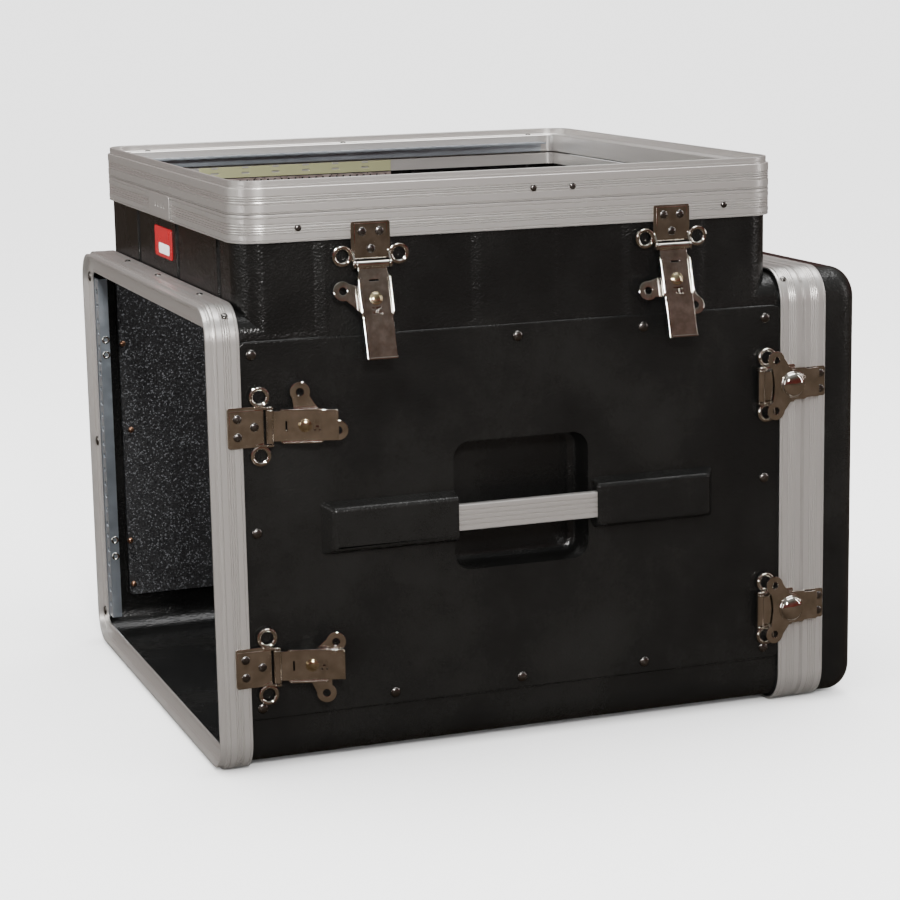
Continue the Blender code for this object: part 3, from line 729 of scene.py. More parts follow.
@dataclass(frozen=True)
class DomeHead:
    """Set rivet or driven screw with a low domed head, sizes in millimetres."""

    radius: float
    height: float
    steps: int = 20

    def place(self, name: str, places: Sequence[Matrix], finish: Finish, body: str) -> Piece:
        """Sets one head at each place, all in one piece.

        Args:
            name: the piece's name.
            places: where each head stands, +Z out of the surface.
            finish: its finish.
            body: body that it rides on.

        Returns:
            The piece.
        """
        r, h = self.radius, self.height
        profile = [(0.0, -0.7), (r * 0.98, -0.7), (r, -0.4), (r, 0.12 * h), (r * 0.93, 0.42 * h),
                   (r * 0.76, 0.72 * h), (r * 0.5, 0.92 * h), (r * 0.25, 0.99 * h), (0.0, h)]
        master = Bench.turned(name, scaled(profile), Matrix.Identity(4), self.steps)
        return dress(Bench.scattered(name, master, places), finish, body)


RIVET = DomeHead(3.2, 1.3)
FLANGE_SCREW = DomeHead(5.6, 2.0)
PANEL_RIVET = DomeHead(5.0, 2.1)
LATCH_RIVET = DomeHead(4.0, 1.25)


# ---------------------------------------------------------------- aluminium frames


@dataclass(frozen=True)
class Leg:
    """Outer leg of an extrusion with drawn grooves, in millimetres from its shoulder."""

    length: float
    grooves: tuple[float, ...]
    wall: float = 2.0
    shoulder: float = 0.7
    width: float = 1.4
    depth: float = 1.1
    rib_pitch: float = 3.0
    ROUND: ClassVar[tuple[Point, ...]] = ((0.5, 0.10), (0.15, 0.26), (0.0, 0.5), (0.15, 0.74), (0.5, 0.90))

    def face(self) -> list[Point]:
        """Points down the outer face: rounded shoulder, grooves and the round bead at the edge."""
        r, half, deep = self.shoulder, self.width / 2, self.depth
        points = arc((r, -r), r, 90.0, 180.0, 3)
        for index, groove in enumerate(self.grooves):
            before = groove - self.grooves[index - 1] if index else self.length
            after = self.grooves[index + 1] - groove if index + 1 < len(self.grooves) else self.length
            if before > self.rib_pitch:
                points += [(0.0, half - groove), (deep * 0.5, half * 0.4 - groove)]
            points.append((deep, -groove))
            if after > self.rib_pitch:
                points += [(deep * 0.5, -half * 0.4 - groove), (0.0, -half - groove)]
            else:
                points += [(deep * x, -groove - after * y) for x, y in self.ROUND]
        bead = self.wall / 2
        points += arc((bead, bead - self.length), bead, 180.0, 360.0, 6)
        return points


class FrameKind(Enum):
    """Sections of the five frames."""

    FRONT = Leg(24.0, (3.0, 9.2, 11.3, 13.5, 15.5, 21.3))
    REAR_BODY = Leg(24.0, (1.3, 7.6, 9.6, 11.6, 13.6, 15.4, 21.2))
    REAR_LID = Leg(23.9, (1.3, 7.6, 9.6, 11.6, 13.6, 15.4, 21.2))
    TOP_BODY = Leg(25.0, (3.0, 8.4, 10.5, 13.2, 15.3, 17.2, 22.6))
    MIXER = Leg(23.3, (7.7, 9.9, 11.7, 14.4, 21.8))


@dataclass(frozen=True)
class FrameSection:
    """Sections that the frames are drawn from, in millimetres; x runs inwards, y towards the opening."""

    flange: float = 22.0
    tongue_outer: float = 2.4
    tongue_inner: float = 5.0
    tongue_height: float = 6.4

    def tongued(self, leg: Leg, inner_drop: float = 0.0) -> list[Point]:
        """Leg, inward flange and a tongue with its own groove; an inner leg hangs where asked for."""
        wall = leg.wall
        points = leg.face() + [(wall, -wall - 0.6), (wall + 0.6, -wall)]
        if inner_drop:
            points += [(self.flange - wall, -wall), (self.flange - wall, 0.4 - inner_drop),
                       (self.flange - wall + 0.4, -inner_drop), (self.flange - 0.4, -inner_drop),
                       (self.flange, 0.4 - inner_drop)]
        else:
            points += [(self.flange - 0.5, -wall), (self.flange, 0.5 - wall)]
        points += [(self.flange, -0.5), (self.flange - 0.5, 0.0)]
        for groove in (18.4, 8.6):
            points += [(groove + 0.5, 0.0), (groove, -0.35), (groove - 0.5, 0.0)]
        inner, outer, top = self.tongue_inner, self.tongue_outer, self.tongue_height
        points += [(inner + 0.4, 0.0), (inner, 0.4), (inner, top - 0.7), (inner - 0.3, top - 0.2),
                   (inner - 0.8, top), (outer + 0.8, top), (outer + 0.3, top - 0.2), (outer, top - 0.7),
                   (outer, 2.6), (outer + 0.3, 2.2), (outer, 1.8), (outer, 0.0)]
        return points

    def rear_lid(self, leg: Leg) -> list[Point]:
        """Leg that runs from the seam towards the lid, with the web that closes the groove."""
        points = [(x, -y) for x, y in leg.face()]
        wall = leg.wall
        points += [(wall, 10.0), (8.0, 10.0), (8.0, 8.0), (wall, 8.0), (wall, 0.4), (wall - 0.4, 0.0)]
        return points[::-1]

    def top_body(self, leg: Leg) -> list[Point]:
        """Leg, web over the moulding's rim and the short inner leg that meets the mixer frame."""
        wall, inner = leg.wall, self.flange - leg.wall
        return leg.face() + [(wall, -4.5), (inner, -4.5), (inner, -8.5), (self.flange, -8.5),
                             (self.flange, 3.7), (inner, 3.7), (inner, -2.5), (wall, -2.5), (wall, -0.4),
                             (wall - 0.4, 0.0)]


@dataclass
class Frames:
    """The aluminium frames with their set rivets and screws."""

    height: float = 0.4295
    lower_corner: float = 0.032
    top_corner: float = 0.030
    tongue: float = 6.4
    rear_seam: float = 587.0
    seam_height: float = 0.508
    shoulder: float = 0.5313
    top_start: float = 28.3
    top_length: float = 0.5317
    corner_steps: int = 12
    seam_gap: float = 0.3
    inner_leg: float = 18.3
    rivet_xs: tuple[float, ...] = (-0.126, 0.006, 0.169)
    rim_rivets: Point = (20.0, 570.5)
    corner_rivets: Point = (20.0, 569.6)
    side_rivets: Point = (87.0, 502.0)
    side_rivet_height: float = 0.495
    flange_inset: float = 0.0125
    screw_heights: tuple[float, ...] = (0.032, 0.222, 0.401)
    shoulder_rivets: tuple[float, ...] = (75.0, 294.0, 513.0)
    paired_rivets: Point = (310.6, 349.0)
    paired_drop: float = 0.0116
    section: FrameSection = field(default_factory=FrameSection)

    def upright(self, facing: int, at: float) -> Matrix:
        """Place of a frame that stands across the case and opens towards -Y or +Y."""
        turn = Matrix.Rotation(math.radians(-90 * facing), 4, "X")
        return Matrix.Translation((0.0, back(at), self.height / 2)) @ turn

    def bent(self, name: str, outline: Sequence[Point], size: Point, radius: float, place: Matrix,
             body: str) -> Piece:
        """Bends one extrusion round its rounded rectangle and puts it in place of its node."""
        path = rounded_rectangle(size[0], size[1], radius, self.corner_steps)
        piece = Bench.swept(name + "_extrusion", scaled(outline), path, place)
        return dress(Bench.smooth(piece, FINE_ANGLE), ALUMINIUM, body, name)

    def build(self) -> None:
        """Bends the five frames and sets their rivets."""
        lower = (2 * HALF_WIDTH, self.height)
        upper = (2 * HALF_WIDTH, self.top_length)
        middle = back(self.top_start) + self.top_length / 2
        section = self.section
        self.bent("front_valance", section.tongued(FrameKind.FRONT.value), lower, self.lower_corner,
                  self.upright(-1, self.tongue), CASE_BODY)
        self.bent("rear_body_valance", section.tongued(FrameKind.REAR_BODY.value), lower, self.lower_corner,
                  self.upright(1, self.rear_seam - self.seam_gap), CASE_BODY)
        self.bent("rear_lid_valance", section.rear_lid(FrameKind.REAR_LID.value), lower, self.lower_corner,
                  self.upright(1, self.rear_seam), LID_BODY)
        self.bent("top_body_valance", section.top_body(FrameKind.TOP_BODY.value), upper, self.top_corner,
                  Matrix.Translation((0.0, middle, self.seam_height - self.seam_gap * MM)), CASE_BODY)
        self.bent("mixer_frame_valance", section.tongued(FrameKind.MIXER.value, self.inner_leg), upper,
                  self.top_corner, Matrix.Translation((0.0, middle, self.shoulder)), MIXER_BODY)
        self.rivets()

    def rivets(self) -> None:
        """Sets the rivets and flange screws."""
        up = (0.0, 0.0, 1.0)
        places = [stand((x, back(d), self.height), up) for x in self.rivet_xs for d in self.rim_rivets]
        places += [stand((s.value * HALF_WIDTH, back(d), self.side_rivet_height), (s.value, 0, 0))
                   for s in Side for d in self.side_rivets]
        corner = self.lower_corner
        for side in Side:
            turn = Vector((side.value, 0.0, 1.0)).normalized()
            spot = Vector((side.value * (HALF_WIDTH - corner), 0.0, self.height - corner)) + corner * turn
            places += [stand((spot.x, back(d), spot.z), turn) for d in self.corner_rivets]
        RIVET.place("frame_rivets", places, DARK_RIVET, CASE_BODY)
        inset = HALF_WIDTH - self.flange_inset
        screws = [stand((s.value * inset, back(self.tongue), z), (0, -1, 0))
                  for s in Side for z in self.screw_heights]
        FLANGE_SCREW.place("flange_screws", screws, DARK_RIVET, CASE_BODY)
        places = [stand((s.value * inset, back(d), self.shoulder), up)
                  for s in Side for d in self.shoulder_rivets]
        places += [stand((s.value * HALF_WIDTH, back(d), self.shoulder - self.paired_drop), (s.value, 0, 0))
                   for s in Side for d in self.paired_rivets]
        RIVET.place("mixer_frame_rivets", places, DARK_RIVET, MIXER_BODY)


# ---------------------------------------------------------------- moulded body


@dataclass
class MouldedBody:
    """The polyethylene moulding: collars, raised panels, pads, handle pods, hand recesses and grooves.

    Distances along Y run from the front tongue. Blocks that stand on a side wall are rooted inside it.
    """

    wall: float = 0.0045
    fit: float = 0.0003
    frame_wall: float = 0.002
    corner: float = 0.030
    height: float = 0.4295
    rim: float = 0.5032
    top_start: float = 0.0283
    top_length: float = 0.5317
    front_collar: Point = (0.0087, 0.0304)
    rear_collar: Point = (0.563, 0.5844)
    upper_inset: float = 0.0033
    upper_foot: float = 0.30
    upper_corner: float = 0.0267
    root: float = 0.24
    panel_reach: Point = (0.0264, 0.567)
    panel_heights: Point = (0.0495, 0.397)
    panel_proud: float = 0.0025
    panel_corner: float = 0.0105
    panel_edge: float = 0.0024
    pad_length: float = 0.079
    pad_pitch: float = 0.149
    pad_flank: float = 0.007
    pad_rise: float = 0.0022
    pad_foot: float = 0.37
    upper_half: float = 0.2597
    handle: Point = (0.296, 0.222)
    pod_proud: float = 0.013
    pod_foot: Point = (0.2102, 0.0325)
    pod_face: Point = (0.1862, 0.0193)
    pod_edge: float = 0.0034
    recess: tuple[float, float, float] = (0.134, 0.121, 0.032)
    recess_rise: float = 0.0085
    bar_show: Point = (-0.0625, 0.0710)
    recess_wall: float = 0.0035
    recess_corner: float = 0.016
    recess_floor_edge: float = 0.009
    bay_corner: float = 0.026
    well_corner: float = 0.0222
    groove_xs: tuple[float, ...] = (-0.120, 0.043, 0.196)
    groove_half: float = 0.0065
    groove_depth: float = 0.003

    @property
    def half(self) -> float:
        """Half the width of the collars, just inside the frames' legs."""
        return HALF_WIDTH - self.frame_wall - self.fit

    def tube(self, name: str, inset: float, y0: float, y1: float) -> Piece:
        """Lower body as a rounded tube along Y."""
        low = self.frame_wall + self.fit + inset
        obj = Bench.block(name, (-self.half + inset, y0, low), (self.half - inset, y1, self.height - low))
        return Bench.rounded(obj, self.corner - inset, 12, along(1))

    def build(self) -> None:
        """Moulds the body, rivets it and takes the CAD node's place."""
        front, rear = FRONT_Y + self.front_collar[0], FRONT_Y + self.rear_collar[1]
        shell = self.tube("moulded_body", self.panel_proud, front + 0.001, rear - 0.001)
        Bench.combine(shell, self.tube("front_collar", 0.0, front, FRONT_Y + self.front_collar[1]), "UNION")
        Bench.combine(shell, self.tube("rear_collar", 0.0, FRONT_Y + self.rear_collar[0], rear), "UNION")
        top_front = FRONT_Y + self.top_start + self.fit + self.upper_inset
        top_rear = FRONT_Y + self.top_start + self.top_length - self.fit - self.upper_inset
        upper = Bench.block("upper_walls", (-self.upper_half, top_front, self.upper_foot),
                            (self.upper_half, top_rear, self.rim))
        Bench.rounded(upper, self.upper_corner, 12, along(2))
        Bench.combine(shell, upper, "UNION")
        for side in Side:
            self.raise_panels(shell, side)
        self.hollow(shell, top_front, top_rear)
        for side in Side:
            self.sink_recess(shell, side)
        self.cut_front(shell, top_front)
        Bench.outward(shell, 2e-6)
        Bench.smooth(shell, math.radians(26))
        dress(shell, PLASTIC, CASE_BODY, "body_shell")
        self.rivets()

    def raise_panels(self, shell: Piece, side: Side) -> None:
        """Raised side panel, the three pads above it and the two drafted handle pods."""
        near, far = self.panel_reach
        panel = side_block("panel", side, self.root, self.half, (FRONT_Y + near, self.panel_heights[0]),
                           (FRONT_Y + far, self.panel_heights[1]))
        Bench.rounded(panel, self.panel_corner, 6, along(0))
        Bench.rounded(panel, self.panel_edge, 4, on_plane(0, side.value * self.half))
        Bench.combine(shell, panel, "UNION")
        middle = FRONT_Y + self.top_start + self.top_length / 2
        for step in (-1, 0, 1):
            Bench.combine(shell, self.pad(side, middle + step * self.pad_pitch), "UNION")
        for end, show in zip((-1, 1), self.bar_show):
            Bench.combine(shell, self.pod(side, end, show), "UNION")

    def pod(self, side: Side, end: int, show: float) -> Piece:
        """One handle pod, whose flanks and far end lean in towards its face.

        Args:
            side: side of the case.
            end: -1 in front of the bar, 1 behind it.
            show: where the bar comes out of the pod, from the handle's middle.

        Returns:
            The pod.
        """
        centre, rise = FRONT_Y + self.handle[0], self.handle[1]
        inner = centre + show
        y0, y1 = sorted((inner, centre + end * self.pod_foot[0]))
        pod = side_block("pod", side, self.root, self.half + self.pod_proud, (y0, rise - self.pod_foot[1]),
                         (y1, rise + self.pod_foot[1]))
        top = side.value * (self.half + self.pod_proud)
        for vertex in pod.data.vertices:
            if abs(vertex.co.x - top) < TOUCH:
                vertex.co.z = rise + math.copysign(self.pod_face[1], vertex.co.z - rise)
                if (vertex.co.y - inner) * end > 0.01:
                    vertex.co.y = centre + end * self.pod_face[0]
        return Bench.rounded(pod, self.pod_edge, 4)

    def pad(self, side: Side, centre: float) -> Piece:
        """One raised pad, whose flanks rise in a soft slope.

        Args:
            side: side of the case.
            centre: the pad's middle, along Y.

        Returns:
            The pad.
        """
        half, flank, rise, root = self.pad_length / 2, self.pad_flank, self.pad_rise, 0.02
        rising = [(-half - flank + 2 * flank * t, rise * (3 * t * t - 2 * t ** 3))
                  for t in (i / 8 for i in range(9))]
        outline = [(-half - flank, -root)] + [(y, x - 0.0002) for y, x in rising]
        outline += [(-y, x) for y, x in outline[::-1]]
        place = Matrix(((0, side.value, 0, side.value * self.upper_half), (1, 0, 0, centre),
                        (0, 0, 1, 0), (0, 0, 0, 1)))
        pad = Bench.prism("pad", outline, self.pad_foot, self.rim - 0.0005)
        pad.data.transform(place)
        return Bench.outward(pad)

    def hollow(self, shell: Piece, top_front: float, top_rear: float) -> None:
        """Opens the bay from front to rear, and the well up through the top."""
        inner = self.half - self.panel_proud - self.wall + 0.001
        floor = self.frame_wall + self.fit + self.wall
        cavity = Bench.block("bay", (-inner, FRONT_Y - 0.05, floor),
                             (inner, FRONT_Y + 0.64, self.height - floor))
        Bench.rounded(cavity, self.bay_corner, 10, along(1))
        Bench.combine(shell, cavity)
        upper = self.upper_half - self.wall
        well = Bench.block("well", (-upper, top_front + self.wall, 0.20),
                           (upper, top_rear - self.wall, 0.60))
        Bench.rounded(well, self.well_corner, 10, along(2))
        Bench.combine(shell, well)

    def sink_recess(self, shell: Piece, side: Side) -> None:
        """Hand recess with its walls inside the case, and the sockets for the bar."""
        length, tall, depth = self.recess
        y, z = FRONT_Y + self.handle[0], self.handle[1] + self.recess_rise
        wall = self.recess_wall
        low, high = (y - length / 2, z - tall / 2), (y + length / 2, z + tall / 2)
        dish = side_block("dish", side, self.half - depth - wall, self.half - 0.003,
                          (low[0] - wall, low[1] - wall), (high[0] + wall, high[1] + wall))
        Bench.combine(shell, Bench.rounded(dish, self.recess_corner + 0.003, 6, along(0)), "UNION")
        hand = side_block("hand", side, self.half - depth, self.half + 0.05, low, high)
        Bench.rounded(hand, self.recess_corner, 8, along(0))
        Bench.rounded(hand, self.recess_floor_edge, 5, on_plane(0, side.value * (self.half - depth)))
        Bench.combine(shell, hand)
        bar_low, bar_high = bar_box(side)
        gap = Vector((self.fit, self.fit, self.fit))
        Bench.combine(shell, Bench.block("socket", bar_low - gap, bar_high + gap))

    def cut_front(self, shell: Piece, top_front: float) -> None:
        """Grooves down the front end wall and the badge's seat."""
        for x in self.groove_xs:
            low = (x - self.groove_half, top_front - self.groove_depth, self.height - 0.004)
            high = (x + self.groove_half, top_front + self.groove_depth, self.rim - 0.007)
            groove = Bench.block("groove", low, high)
            Bench.rounded(groove, 0.0022, 3, along(2))
            Bench.combine(shell, groove)
        low, high = badge_box()
        gap = self.fit
        seat = Bench.block("seat", (low.x - gap, top_front - 0.02, low.z - gap),
                           (high.x + gap, high.y + gap, high.z + gap))
        Bench.combine(shell, seat)

    def rivets(self) -> None:
        """Heads of the rivets that hold the inner side panels."""
        places = [(d, z) for d in (41.0, 168.0, 294.0, 420.0, 547.0) for z in (0.061, 0.385)]
        places += [(41.0, 0.2235), (547.0, 0.230)]
        heads = [stand((s.value * self.half, back(d), z), (s.value, 0, 0)) for s in Side for d, z in places]
        PANEL_RIVET.place("panel_rivets", heads, DARK_RIVET, CASE_BODY)


@dataclass
class HandleBar:
    """Ribbed aluminium carrying bar between the two pods."""

    ribs: int = 5
    groove: float = 0.0017
    depth: float = 0.0012
    corner: float = 0.0012

    def build(self, side: Side) -> None:
        """Extrudes the ribbed bar along Y.

        Args:
            side: side of the case.
        """
        name = "handle_bar_" + side.tag
        low, high = bar_box(side)
        thick, tall = high.x - low.x, high.z - low.z
        rounding = [(self.corner, 0.0), (self.corner / 3, self.corner / 3), (0.0, self.corner)]
        outline = [(0.0, 0.0)] + [(thick - x, z) for x, z in rounding]
        pitch = tall / (self.ribs + 0.4)
        for index in range(1, self.ribs):
            z = pitch * (index + 0.2)
            outline += [(thick, z - self.groove / 2), (thick - self.depth, z - self.groove / 4),
                        (thick - self.depth, z + self.groove / 4), (thick, z + self.groove / 2)]
        outline += [(thick - x, tall - z) for x, z in rounding[::-1]] + [(0.0, tall)]
        inner_x = low.x if side is Side.RIGHT else high.x
        place = Matrix(((side.value, 0, 0, inner_x), (0, 0, 1, 0), (0, 1, 0, low.z), (0, 0, 0, 1)))
        bar = Bench.prism(name + "_ribbed", outline, low.y, high.y)
        bar.data.transform(place)
        Bench.finished(bar, FINE_ANGLE)
        dress(bar, ALUMINIUM, CASE_BODY, name)


@dataclass
class RearLid:
    """Lift-off rear lid with its wide rounded edges."""

    edge: float = 0.022
    corner: float = 0.030
    wall: float = 0.0045
    steps: int = 12

    def solid(self, name: str, inset: float, start: float) -> Piece:
        """Rounded block that the lid, or its hollow, is made from."""
        low = (LID_LOW.x + inset, start, LID_LOW.z + inset)
        high = (LID_HIGH.x - inset, LID_HIGH.y - inset, LID_HIGH.z - inset)
        obj = Bench.rounded(Bench.block(name, low, high), self.corner - inset, self.steps, along(1))
        return Bench.rounded(obj, self.edge - inset, 9, on_plane(1, high[1]))

    def build(self) -> None:
        """Moulds the lid and hollows it."""
        lid = self.solid("moulded_rear_lid", 0.0, LID_LOW.y)
        Bench.combine(lid, self.solid("hollow", self.wall, LID_LOW.y - 0.02))
        Bench.finished(lid)
        dress(lid, PLASTIC, LID_BODY, "rear_lid_shell")


# ---------------------------------------------------------------- fittings inside


@dataclass
class Fittings:
    """Grit-coated boards, rack rails, strips and the small plates on the front wall."""

    unit: tuple[float, ...] = (6.35, 22.225, 38.1)
    units: int = 8
    hole_row: float = 0.2326
    window: Point = (0.146, 0.133)
    window_middle: Point = (296.0, 0.2305)
    tails: tuple[Point, ...] = ((38.0, 0.326), (43.0, 0.231), (37.0, 0.108), (38.5, 0.059), (168.0, 0.061),
                                (168.0, 0.385))
    washer_row: float = 14.6
    washer_heights: tuple[float, ...] = (0.335, 0.319, 0.116, 0.098)
    rail_slot: float = 0.0062
    rail_pitch: float = 0.01588
    shelf: Point = (0.0176, 0.0015)
    slot_pitch: float = 0.034
    tab_half: float = 0.0036
    hole_pitch: float = 0.0078
    lower_strip: Point = (0.4958, 0.0056)
    loop: Point = (0.0172, 0.0142)
    stakes: tuple[float, ...] = (-0.014, -0.003, 0.010, 0.021)

    def side_panel(self, side: Side) -> None:
        """Grit-coated board with a rounded window for the hand recess, and the rivet tails on it."""
        name = "side_panel_" + side.tag
        low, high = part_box(name)
        outline = rounded_rectangle(high.y - low.y, high.z - low.z, 0.004, 4)
        middle = (low + high) / 2
        window = rounded_rectangle(*self.window, 0.014, 6, (back(self.window_middle[0]) - middle.y,
                                                            self.window_middle[1] - middle.z))
        board = Bench.prism("grit_board_" + side.tag, outline, -0.003, 0.003, [window], 0.0006,
                            facing_side(*middle))
        dress(Bench.smooth(board), GRIT, CASE_BODY, name)
        face = low.x if side is Side.RIGHT else high.x
        inward = (-side.value, 0.0, 0.0)
        tails = [stand((face, back(d), z), inward) for d, z in self.tails]
        DomeHead(3.4, 2.2, 14).place("board_rivet_tails_" + side.tag, tails, COPPER, CASE_BODY)
        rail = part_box("front_rail_" + side.tag)
        wall = rail[0].x if side is Side.RIGHT else rail[1].x
        rings = [stand((wall, back(self.washer_row), z), inward) for z in self.washer_heights]
        self.washers("latch_tail_washers_" + side.tag, rings)

    def washers(self, name: str, places: Sequence[Matrix]) -> None:
        """Ring washers of the latch rivets, each with a sunk middle."""
        profile = [(0.0, -0.9), (4.1, -0.9), (4.2, -0.6), (4.2, 0.6), (3.8, 1.1), (2.9, 1.1), (2.3, 0.5),
                   (2.1, -0.5), (0.0, -0.6)]
        master = Bench.turned(name, scaled(profile), Matrix.Identity(4), 20)
        dress(Bench.scattered(name, master, places), NICKEL, CASE_BODY)

    def front_rail(self, side: Side) -> None:
        """Zinc angle with the rack's fixing holes."""
        name = "front_rail_" + side.tag
        low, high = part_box(name)
        inner, outer = (low.x, high.x) if side is Side.RIGHT else (high.x, low.x)
        x0, x1 = both(side, abs(inner), abs(outer))
        rise = 44.45 * MM
        holes = [circle((side.value * self.hole_row, (low.z + 0.0075) + unit * rise + hole * MM), 0.0034, 12)
                 for unit in range(self.units) for hole in self.unit]
        corners = [(x0, low.z), (x1, low.z), (x1, high.z), (x0, high.z)]
        plate = Bench.prism("rack_rail_" + side.tag, corners, -0.002, 0.0, holes, 0.0,
                            facing_front(0, low.y, 0))
        leg = side_block("leg", side, abs(inner) + 1e-5, abs(inner) + 0.002, (low.y + 0.0005, low.z + 1e-5),
                         (high.y, high.z - 1e-5))
        Bench.combine(plate, leg, "UNION")
        dress(Bench.finished(plate), ZINC, CASE_BODY, name)

    def mixer_rail(self, side: Side) -> None:
        """Zinc angle under the mixer frame's flange, slotted along its upright leg and its shelf."""
        name = "mixer_rail_" + side.tag
        low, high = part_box(name)
        outer = max(abs(low.x), abs(high.x))
        inner = min(abs(low.x), abs(high.x))
        length = high.y - low.y
        middle = (low.y + high.y) / 2
        slots = [rounded_rectangle(self.rail_slot, self.rail_slot, 0.0006, 1,
                                   (-length / 2 + 0.012 + self.rail_pitch * i, 0.0))
                 for i in range(int((length - 0.02) / self.rail_pitch) + 1)]
        place = Matrix(((0, 1, 0, side.value * (inner + outer) / 2), (1, 0, 0, middle), (0, 0, -1, high.z),
                        (0, 0, 0, 1)))
        width, thick = self.shelf
        shelf = Bench.prism("mixer_rack_rail_" + side.tag, rectangle(length, width), 0.0, thick, slots, 0.0,
                            place)
        leg = side_block("leg", side, outer - thick, outer, (low.y + 1e-5, low.z),
                         (high.y - 1e-5, high.z - 0.0004))
        Bench.combine(Bench.outward(shelf), leg, "UNION")
        dress(Bench.finished(shelf), ZINC, MIXER_BODY, name)

    def slot_strip(self, side: Side) -> None:
        """Yellow-passivated strip with short slots, and the perforated strip below it."""
        name = "slot_strip_" + side.tag
        low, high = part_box(name)
        length, tall = high.y - low.y, high.z - low.z
        count = int(length / self.slot_pitch)
        middles = [self.slot_pitch * (i + 0.5) - length / 2 for i in range(count)]
        slots = [rounded_rectangle(0.009, 0.0022, 0.0010, 3, (y, -0.001)) for y in middles]
        middle = (low + high) / 2
        thick = (high.x - low.x) / 2
        strip = Bench.prism("slotted_strip_" + side.tag, rectangle(length, tall), -thick, thick, slots,
                            0.0002, facing_side(*middle))
        dress(Bench.smooth(strip), YELLOW_ZINC, CASE_BODY, name)
        tabs = []
        for y in middles:
            tab = Bench.block("tab", (low.x - 0.0003, middle.y + y - self.tab_half, high.z - 0.0020),
                              (high.x + 0.0003, middle.y + y + self.tab_half, high.z - 0.0002))
            tabs.append(Bench.rounded(tab, 0.0003, 2))
        dress(Bench.smooth(Bench.joined("strip_tabs_" + side.tag, tabs)), ALUMINIUM, CASE_BODY)
        holes = [circle((-length / 2 + 0.006 + self.hole_pitch * i, 0.0), 0.0013, 8)
                 for i in range(int((length - 0.008) / self.hole_pitch))]
        height, width = self.lower_strip
        lower = Bench.prism("perforated_strip_" + side.tag, rectangle(length, width), -thick, thick, holes,
                            0.0, facing_side(middle.x, middle.y, height))
        dress(Bench.smooth(lower), PINK_ZINC, CASE_BODY)

    def strap_loop(self) -> None:
        """Short webbing loop at the front corner of the well, on the left."""
        low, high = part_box("slot_strip_left")
        centre = (back(82.0), low.z - 0.0045)
        outer, inner = self.loop
        outline = arc(centre, outer, 0.0, 180.0, 24) + arc(centre, inner, 180.0, 0.0, 24)
        half = 0.006
        loop = Bench.prism("webbing_loop", outline, -half, half, (), 0.0006, facing_side(high.x + half, 0, 0))
        dress(Bench.smooth(loop), WEBBING, CASE_BODY)

    def front_plates(self) -> None:
        """Splice plate with its staking marks, and the plain badge with a white patch."""
        low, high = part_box("splice_plate")
        width, tall, thick = high.x - low.x, high.z - low.z, (high.y - low.y) / 2
        marks = [rounded_rectangle(0.0022, 0.0058, 0.001, 2, (x, 0.001)) for x in self.stakes]
        plate = Bench.prism("staked_splice_plate", rounded_rectangle(width, tall, 0.0015, 3), -thick, thick,
                            marks, 0.0002, facing_front(*((low + high) / 2)))
        dress(Bench.smooth(plate), ALUMINIUM, CASE_BODY, "splice_plate")
        low, high = badge_box()
        width, tall, thick = high.x - low.x, high.z - low.z, (high.y - low.y) / 2
        place = facing_front(*((low + high) / 2))
        badge = Bench.prism("red_badge", rounded_rectangle(width, tall, 0.0025, 4), -thick, thick, (), 0.0005,
                            place)
        dress(Bench.smooth(badge), RED, CASE_BODY, "badge")
        white = rounded_rectangle(width * 0.62, tall * 0.34, 0.003, 4, (0.004, -0.006))
        patch = Bench.prism("badge_patch", white, thick - 0.0005, thick + 0.0002, (), 0.0, place)
        dress(Bench.smooth(patch), WHITE, CASE_BODY)

    def build(self) -> None:
        """Makes every fitting, on both sides where there are two."""
        for side in Side:
            self.side_panel(side)
            self.front_rail(side)
            self.mixer_rail(side)
            self.slot_strip(side)
        self.strap_loop()
        self.front_plates()


# ---------------------------------------------------------------- latches


